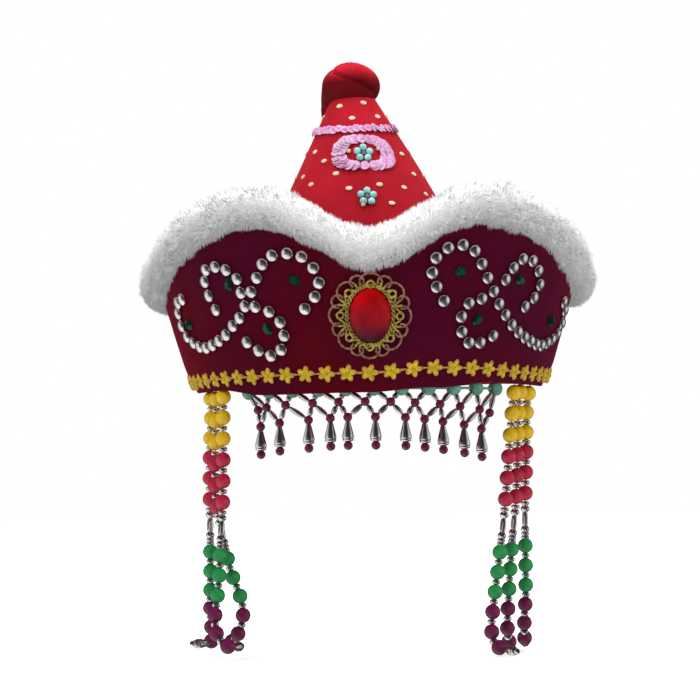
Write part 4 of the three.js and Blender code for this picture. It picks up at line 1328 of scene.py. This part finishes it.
class HAT_OT_fringe(bpy.types.Operator):
    """Builds the rim beads and the fringe under the front"""

    bl_idname = "hat.fringe"
    bl_label = "Fringe"

    def execute(self, context):
        index = np.arange(FRINGE_DROPS)
        degrees = FRINGE_MIDDLE + RIM_BEAD_STEP * (index - (FRINGE_DROPS - 1) / 2)
        hooks = oval(*RIM_OVAL, degrees, RIM_BEAD_HEIGHT)
        along_rim = unit(oval(*RIM_OVAL, degrees + 1, 0) - oval(*RIM_OVAL, degrees - 1, 0))
        self.rim(context, degrees, hooks, along_rim)
        upper = fringe_knots(UPPER_KNOT, np.arange(FRINGE_DROPS + 1) - 0.5, UPPER_SLIPS)
        lower = fringe_knots(LOWER_KNOT, index, LOWER_SLIPS)
        down = np.array([0.0, 0.0, -1.0])
        radius = size(context, "rim_bead") / 2
        silver = []
        for start, end, room in (
            (hooks, upper[:-1], radius * 0.72),
            (hooks, upper[1:], radius * 0.72),
            (upper[:-1], lower, KNOT_ROOM),
            (upper[1:], lower, KNOT_ROOM),
        ):
            length = np.linalg.norm(end - start, axis=1) - room - KNOT_ROOM
            way = unit(end - start)
            middle = start + way * (room + length / 2)[:, None]
            axes = axes_along(way, (0.3, 1.0, 0.2))
            for k in range(len(start)):
                silver.append(copies(rice(length[k], 2.6), middle[k : k + 1], axes[k : k + 1]))
        axes = axes_along(np.repeat(down[None], FRINGE_DROPS, 0), (0.0, 1.0, 0.0))
        silver.append(copies(self.drop(), lower, axes))
        plate = finish(context, "Silver plate")
        add_piece("silver_fringe", merge(silver), plate, ("front_fringe",), crease=60)
        knot = bead(size(context, "knot_bead"), 0.5, 16, 10)
        sideways = axes_along([[0.0, 0.3, 1.0]], (1.0, 0.0, 0.0))
        places = [upper, lower, lower + down * DROP_LENGTH]
        wine = [copies(knot, p, np.repeat(sideways, len(p), 0)) for p in places]
        normals = np.tile([0.0, 1.0, 0.0], (8, 1))
        for p in lower:
            wine.append(tube(np.linspace(p, p + down * DROP_THREAD, 8), 0.35, 6, normals))
        add_piece("wine_beads", merge(wine), finish(context, "Wine bead"))
        return {"FINISHED"}

    @staticmethod
    def rim(context, degrees, hooks, along_rim):
        """Turquoise beads on a thread along the rim."""
        beads = copies(bead(size(context, "rim_bead"), 0.8), hooks, axes_along(along_rim, (0.0, 0.0, 1.0)))
        turns = np.linspace(degrees[0] - 2.6, degrees[-1] + 2.6, 90)
        path = oval(*RIM_OVAL, turns, RIM_BEAD_HEIGHT)
        thread = tube(path, 0.6, 8, np.tile([0.0, 0.0, 1.0], (90, 1)))
        turquoise = finish(context, "Turquoise bead")
        add_piece("turquoise_beads", merge([beads, thread]), turquoise, ("rim_beads",))

    @staticmethod
    def drop():
        """A fluted drop, as (radius, way down), hung by its narrow end."""
        rows = [
            (0.4, 1.9), (1.1, 1.9), (1.35, 2.6), (1.7, 4.0), (2.2, 5.9), (2.7, 7.9), (2.85, 9.0),
            (2.75, 9.6), (2.55, 9.8), (2.75, 10.1), (2.5, 10.8), (1.4, 11.2), (0.4, 11.2),
        ]
        return lathe(rows, 24, flutes=6, depth=0.05)


SPACER = [(0.6, -1.05), (1.5, -1.1), (2.0, -0.55), (2.05, 0.0), (2.0, 0.55), (1.5, 1.1), (0.6, 1.05)]
STRETCH_SHAPES = {
    "ring": [(0.5, -0.85), (1.5, -0.9), (2.0, -0.4), (2.05, 0.0), (2.0, 0.4), (1.5, 0.9), (0.5, 0.85)],
    "ball": [
        (0.5, -1.6), (1.2, -1.65), (1.8, -0.9), (2.2, -0.2), (2.2, 0.2), (1.8, 0.9), (1.2, 1.65),
        (0.5, 1.6),
    ],
    "long": [
        (0.5, -3.3), (1.1, -3.35), (1.4, -2.7), (1.65, -1.4), (1.72, 0.0), (1.65, 1.4), (1.4, 2.7),
        (1.1, 3.35), (0.5, 3.3),
    ],
}
END_DROP = [
    (0.5, 0.4), (1.0, 0.35), (1.1, 1.0), (1.5, 2.4), (2.0, 4.2), (2.4, 6.2), (2.5, 7.4),
    (2.3, 8.4), (2.0, 8.6), (2.2, 9.1), (1.9, 9.7), (1.0, 10.0), (0.5, 10.0),
]


THREAD_SIDE = (1.0, 0.2, 0.1)
THREAD_COLOUR = (0.45, 0.4, 0.35)


def bead_steps(count, shift):
    """Lengths along a strand: so many steps of its upper beads and as many of its lower ones."""
    step = np.arange(count) + shift
    return np.concatenate([FIRST_BEAD + UPPER_PITCH * step, LOWER_START + LOWER_PITCH * step])


def on_strand(path, at, slip):
    """Places and axes at lengths along a strand. The slip grows over the first forty millimetres."""
    at = np.asarray(at, float)
    places, tangents = along(path, at + slip * np.minimum(1, at / 40))
    return places, axes_along(tangents, THREAD_SIDE)


class HAT_OT_strands(bpy.types.Operator):
    """Builds the six strands at the sides"""

    bl_idname = "hat.strands"
    bl_label = "Strands"

    def execute(self, context):
        diameter = size(context, "strand_bead")
        dyes = [named_colour(context, name) for name in ("yellow", "crimson", "green", "purple")]
        dye = np.repeat(dyes, 3, 0)
        for order, (name, points) in enumerate(STRANDS.items()):
            path = smooth_path(points)
            slip = STRAND_SLIPS[name]
            places, axes = on_strand(path, bead_steps(6, 0), slip)
            ball = bead(diameter, 0.85, 20, 13)
            beads = copies(ball, places, turned(axes, 40.0 * order))
            core, _ = along(path, np.linspace(0, DROP_START + slip, 120))
            core = np.vstack([core[:1] + [0, 0, STITCH], core])
            thread = tube(core, 0.4, 6, np.tile(THREAD_SIDE, (121, 1)))
            piece = add_piece(name + "_beads", merge([beads, thread]), dyed_bead(), (name,))
            rows = np.repeat(dye, len(ball[0]), 0)
            rows = np.vstack([rows, np.tile(THREAD_COLOUR, (len(thread[0]), 1))])
            point_values(piece, "dye", np.hstack([rows, np.ones((len(rows), 1))]))
            self.silver(context, name, path, slip)
        return {"FINISHED"}

    @staticmethod
    def silver(context, name, path, slip):
        """Spacers between the beads, the silver stretch, the end drop and its small ball."""
        parts = []

        def place(shape, at):
            parts.append(copies(shape, *on_strand(path, at, slip)))

        place(lathe(SPACER, 14), bead_steps(5, 0.5))
        for at, kind in SILVER_STRETCH:
            fluting = {"flutes": 10, "depth": 0.12} if kind == "long" else {}
            place(lathe(STRETCH_SHAPES[kind], 20, **fluting), [at])
        ends, _ = along(path, [DROP_START - 0.6 + slip, DROP_START + 11.0 + slip])
        way = unit(ends[1:] - ends[:1])
        axes = axes_along(way, THREAD_SIDE)
        parts.append(copies(lathe(END_DROP, 24, flutes=8, depth=0.12), ends[:1], axes))
        parts.append(copies(bead(2.8, 0.5, 14, 9), ends[:1] + way * 11.2, axes))
        plate = finish(context, "Silver plate")
        add_piece(name + "_silver", merge(parts), plate, (name,), crease=60)


class HAT_OT_stage(bpy.types.Operator):
    """Sets the floor, the light and the camera"""

    bl_idname = "hat.stage"
    bl_label = "Stage"

    def execute(self, context):
        self.floor()
        self.lamps(context)
        self.studio(context)
        self.camera(context)
        context.scene.view_settings.view_transform = "Standard"
        context.scene.view_settings.look = "None"
        context.scene.cycles.use_denoising = True
        return {"FINISHED"}

    @staticmethod
    def floor():
        """A pale floor that fades to the white behind it, and is clear from below."""
        half, height = 4.0, FLOOR_HEIGHT * MM
        mesh = bpy.data.meshes.new("floor")
        corners = [(-half, -half), (half, -half), (half, half), (-half, half)]
        mesh.from_pydata([(x, y, height) for x, y in corners], [], [(0, 1, 2, 3)])
        floor = bpy.data.objects.new("floor", mesh)
        bpy.context.scene.collection.objects.link(floor)
        values = {"Base Color": (0.85, 0.85, 0.85, 1), "Roughness": 0.9, "Emission Color": (1, 1, 1, 1)}
        material, shader = principled("Pale floor", values)
        tree = material.node_tree
        place = add_node(tree, "TexCoord").outputs["Object"]
        reach = add_node(tree, "VectorMath", {0: place}, operation="LENGTH").outputs["Value"]
        seen = add_node(tree, "LightPath").outputs["Is Camera Ray"]
        inputs = {0: ranged(tree, reach, 0.2, 0.9, 0.55, 1.05), 1: seen}
        glow = add_node(tree, "Math", inputs, operation="MULTIPLY").outputs["Value"]
        tree.links.new(glow, shader.inputs["Emission Strength"])
        # Seen from below the floor is clear, so that the hat's inside can be looked at
        clear = add_node(tree, "BsdfTransparent").outputs["BSDF"]
        side = add_node(tree, "NewGeometry").outputs["Backfacing"]
        both = either(tree, side, shader.outputs["BSDF"], clear)
        tree.links.new(both, tree.nodes["Material Output"].inputs["Surface"])
        mesh.materials.append(material)
        floor.visible_glossy = False

    @staticmethod
    def lamps(context):
        """Four soft lamps that look at the hat's middle."""
        for name, place, width, power in (
            ("key", (-1.0, -1.4, 1.1), 0.6, 16.0),
            ("fill", (1.3, -1.2, 0.5), 0.7, 10.0),
            ("top", (0.0, 0.1, 1.7), 1.5, 30.0),
            ("back", (0.4, 1.6, 1.0), 1.0, 12.0),
        ):
            light = bpy.data.lights.new(name, "AREA")
            light.energy = power
            light.size = width
            lamp = bpy.data.objects.new(name, light)
            lamp.location = place
            lamp.visible_glossy = False
            aim = Vector((0, 0, 0.03)) - Vector(place)
            lamp.rotation_euler = aim.to_track_quat("-Z", "Y").to_euler()
            context.scene.collection.objects.link(lamp)

    @staticmethod
    def studio(context):
        """The surroundings: white to the camera, a studio to mirrors, and soft light to everything else."""
        world = bpy.data.worlds.new("Studio")
        context.scene.world = world
        world.use_nodes = True
        tree = world.node_tree
        tree.nodes.clear()
        rays = add_node(tree, "LightPath").outputs
        place = add_node(tree, "TexCoord").outputs["Generated"]
        # Mirrors see a dark studio above and a bright floor below and to the left
        lean = add_node(tree, "VectorMath", {0: place, 1: (-0.42, 0.0, -0.91)}, operation="DOT_PRODUCT")
        patches = add_node(tree, "TexNoise", {"Vector": place, "Scale": 2.6, "Detail": 1.0})
        inputs = {0: patches.outputs["Fac"], 1: 0.3, 2: lean.outputs["Value"]}
        level = add_node(tree, "Math", inputs, operation="MULTIPLY_ADD").outputs["Value"]
        ramp = add_node(tree, "ValToRGB", {"Fac": ranged(tree, level, -0.85, 1.15)})
        stops = ramp.color_ramp.elements
        stops[0].position, stops[0].color = 0.1, (0.02, 0.02, 0.024, 1)
        stops[1].position, stops[1].color = 0.92, (1, 0.97, 0.97, 1)
        for position, value in ((0.45, 0.04), (0.64, 0.07), (0.78, 0.17), (0.86, 0.55)):
            stops.new(position).color = (value, value * 0.95, value * 0.97, 1)
        # Both sides of the studio are brighter
        x = add_node(tree, "SeparateXYZ", {"Vector": place}).outputs["X"]
        aside = add_node(tree, "Math", {0: x}, operation="ABSOLUTE").outputs["Value"]
        flank = ranged(tree, aside, 0.72, 1.0, 0.0, 0.75)
        sides = mixed(tree, flank, ramp.outputs["Color"], (1, 0.98, 0.98, 1))
        soft = add_node(tree, "Background", {"Color": (0.97, 0.98, 1.0, 1), "Strength": 0.32})
        mirror = add_node(tree, "Background", {"Color": sides})
        white = add_node(tree, "Background", {"Color": (1, 1, 1, 1)})
        light = either(tree, rays["Is Glossy Ray"], soft.outputs[0], mirror.outputs[0])
        light = either(tree, rays["Is Camera Ray"], light, white.outputs[0])
        tree.links.new(light, add_node(tree, "OutputWorld").inputs["Surface"])

    @staticmethod
    def camera(context):
        lens = bpy.data.cameras.new("camera")
        lens.sensor_width = 36.0
        lens.lens = CAMERA_LENS
        lens.clip_start = 0.05
        lens.clip_end = 50.0
        camera = bpy.data.objects.new("camera", lens)
        forward = Vector(CAMERA_FORWARD).normalized()
        right = forward.cross(Vector((0, 0, 1))).normalized()
        up = right.cross(forward)
        roll = math.radians(CAMERA_ROLL)
        x = right * math.cos(roll) - up * math.sin(roll)
        y = right * math.sin(roll) + up * math.cos(roll)
        turn = Matrix((x, y, -forward)).transposed().to_4x4()
        camera.matrix_world = Matrix.Translation(Vector(CAMERA_PLACE) * MM) @ turn
        context.scene.collection.objects.link(camera)
        context.scene.camera = camera


class HAT_PT_panel(bpy.types.Panel):
    """Buttons that build the hat piece by piece"""

    bl_idname = "HAT_PT_panel"
    bl_label = "Mongolian hat"
    bl_space_type = "VIEW_3D"
    bl_region_type = "UI"
    bl_category = "Hat"

    def draw(self, context):
        for settings in (context.scene.hat_sizes, context.scene.hat_colours):
            for name in settings.__annotations__:
                self.layout.prop(settings, name)
        for operator in OPERATORS:
            self.layout.operator(operator.bl_idname)


OPERATORS = (
    HAT_OT_crown,
    HAT_OT_top_knot,
    HAT_OT_brim_band,
    HAT_OT_fur,
    HAT_OT_flower_trim,
    HAT_OT_medallion,
    HAT_OT_scrolls,
    HAT_OT_leaf_stones,
    HAT_OT_sequins,
    HAT_OT_cone_flowers,
    HAT_OT_fringe,
    HAT_OT_strands,
    HAT_OT_stage,
)
CLASSES = (HatSizes, HatColours, *OPERATORS, HAT_PT_panel)


def register():
    """Registers the classes and the scene's settings."""
    for cls in CLASSES:
        bpy.utils.register_class(cls)
    bpy.types.Scene.hat_sizes = bpy.props.PointerProperty(type=HatSizes)
    bpy.types.Scene.hat_colours = bpy.props.PointerProperty(type=HatColours)


def unregister():
    """Removes the settings and the classes."""
    del bpy.types.Scene.hat_colours
    del bpy.types.Scene.hat_sizes
    for cls in reversed(CLASSES):
        bpy.utils.unregister_class(cls)


def main():
    """Builds the whole hat."""
    register()
    for operator in OPERATORS:
        group, name = operator.bl_idname.split(".")
        getattr(getattr(bpy.ops, group), name)()


if __name__ == "__main__":
    main()
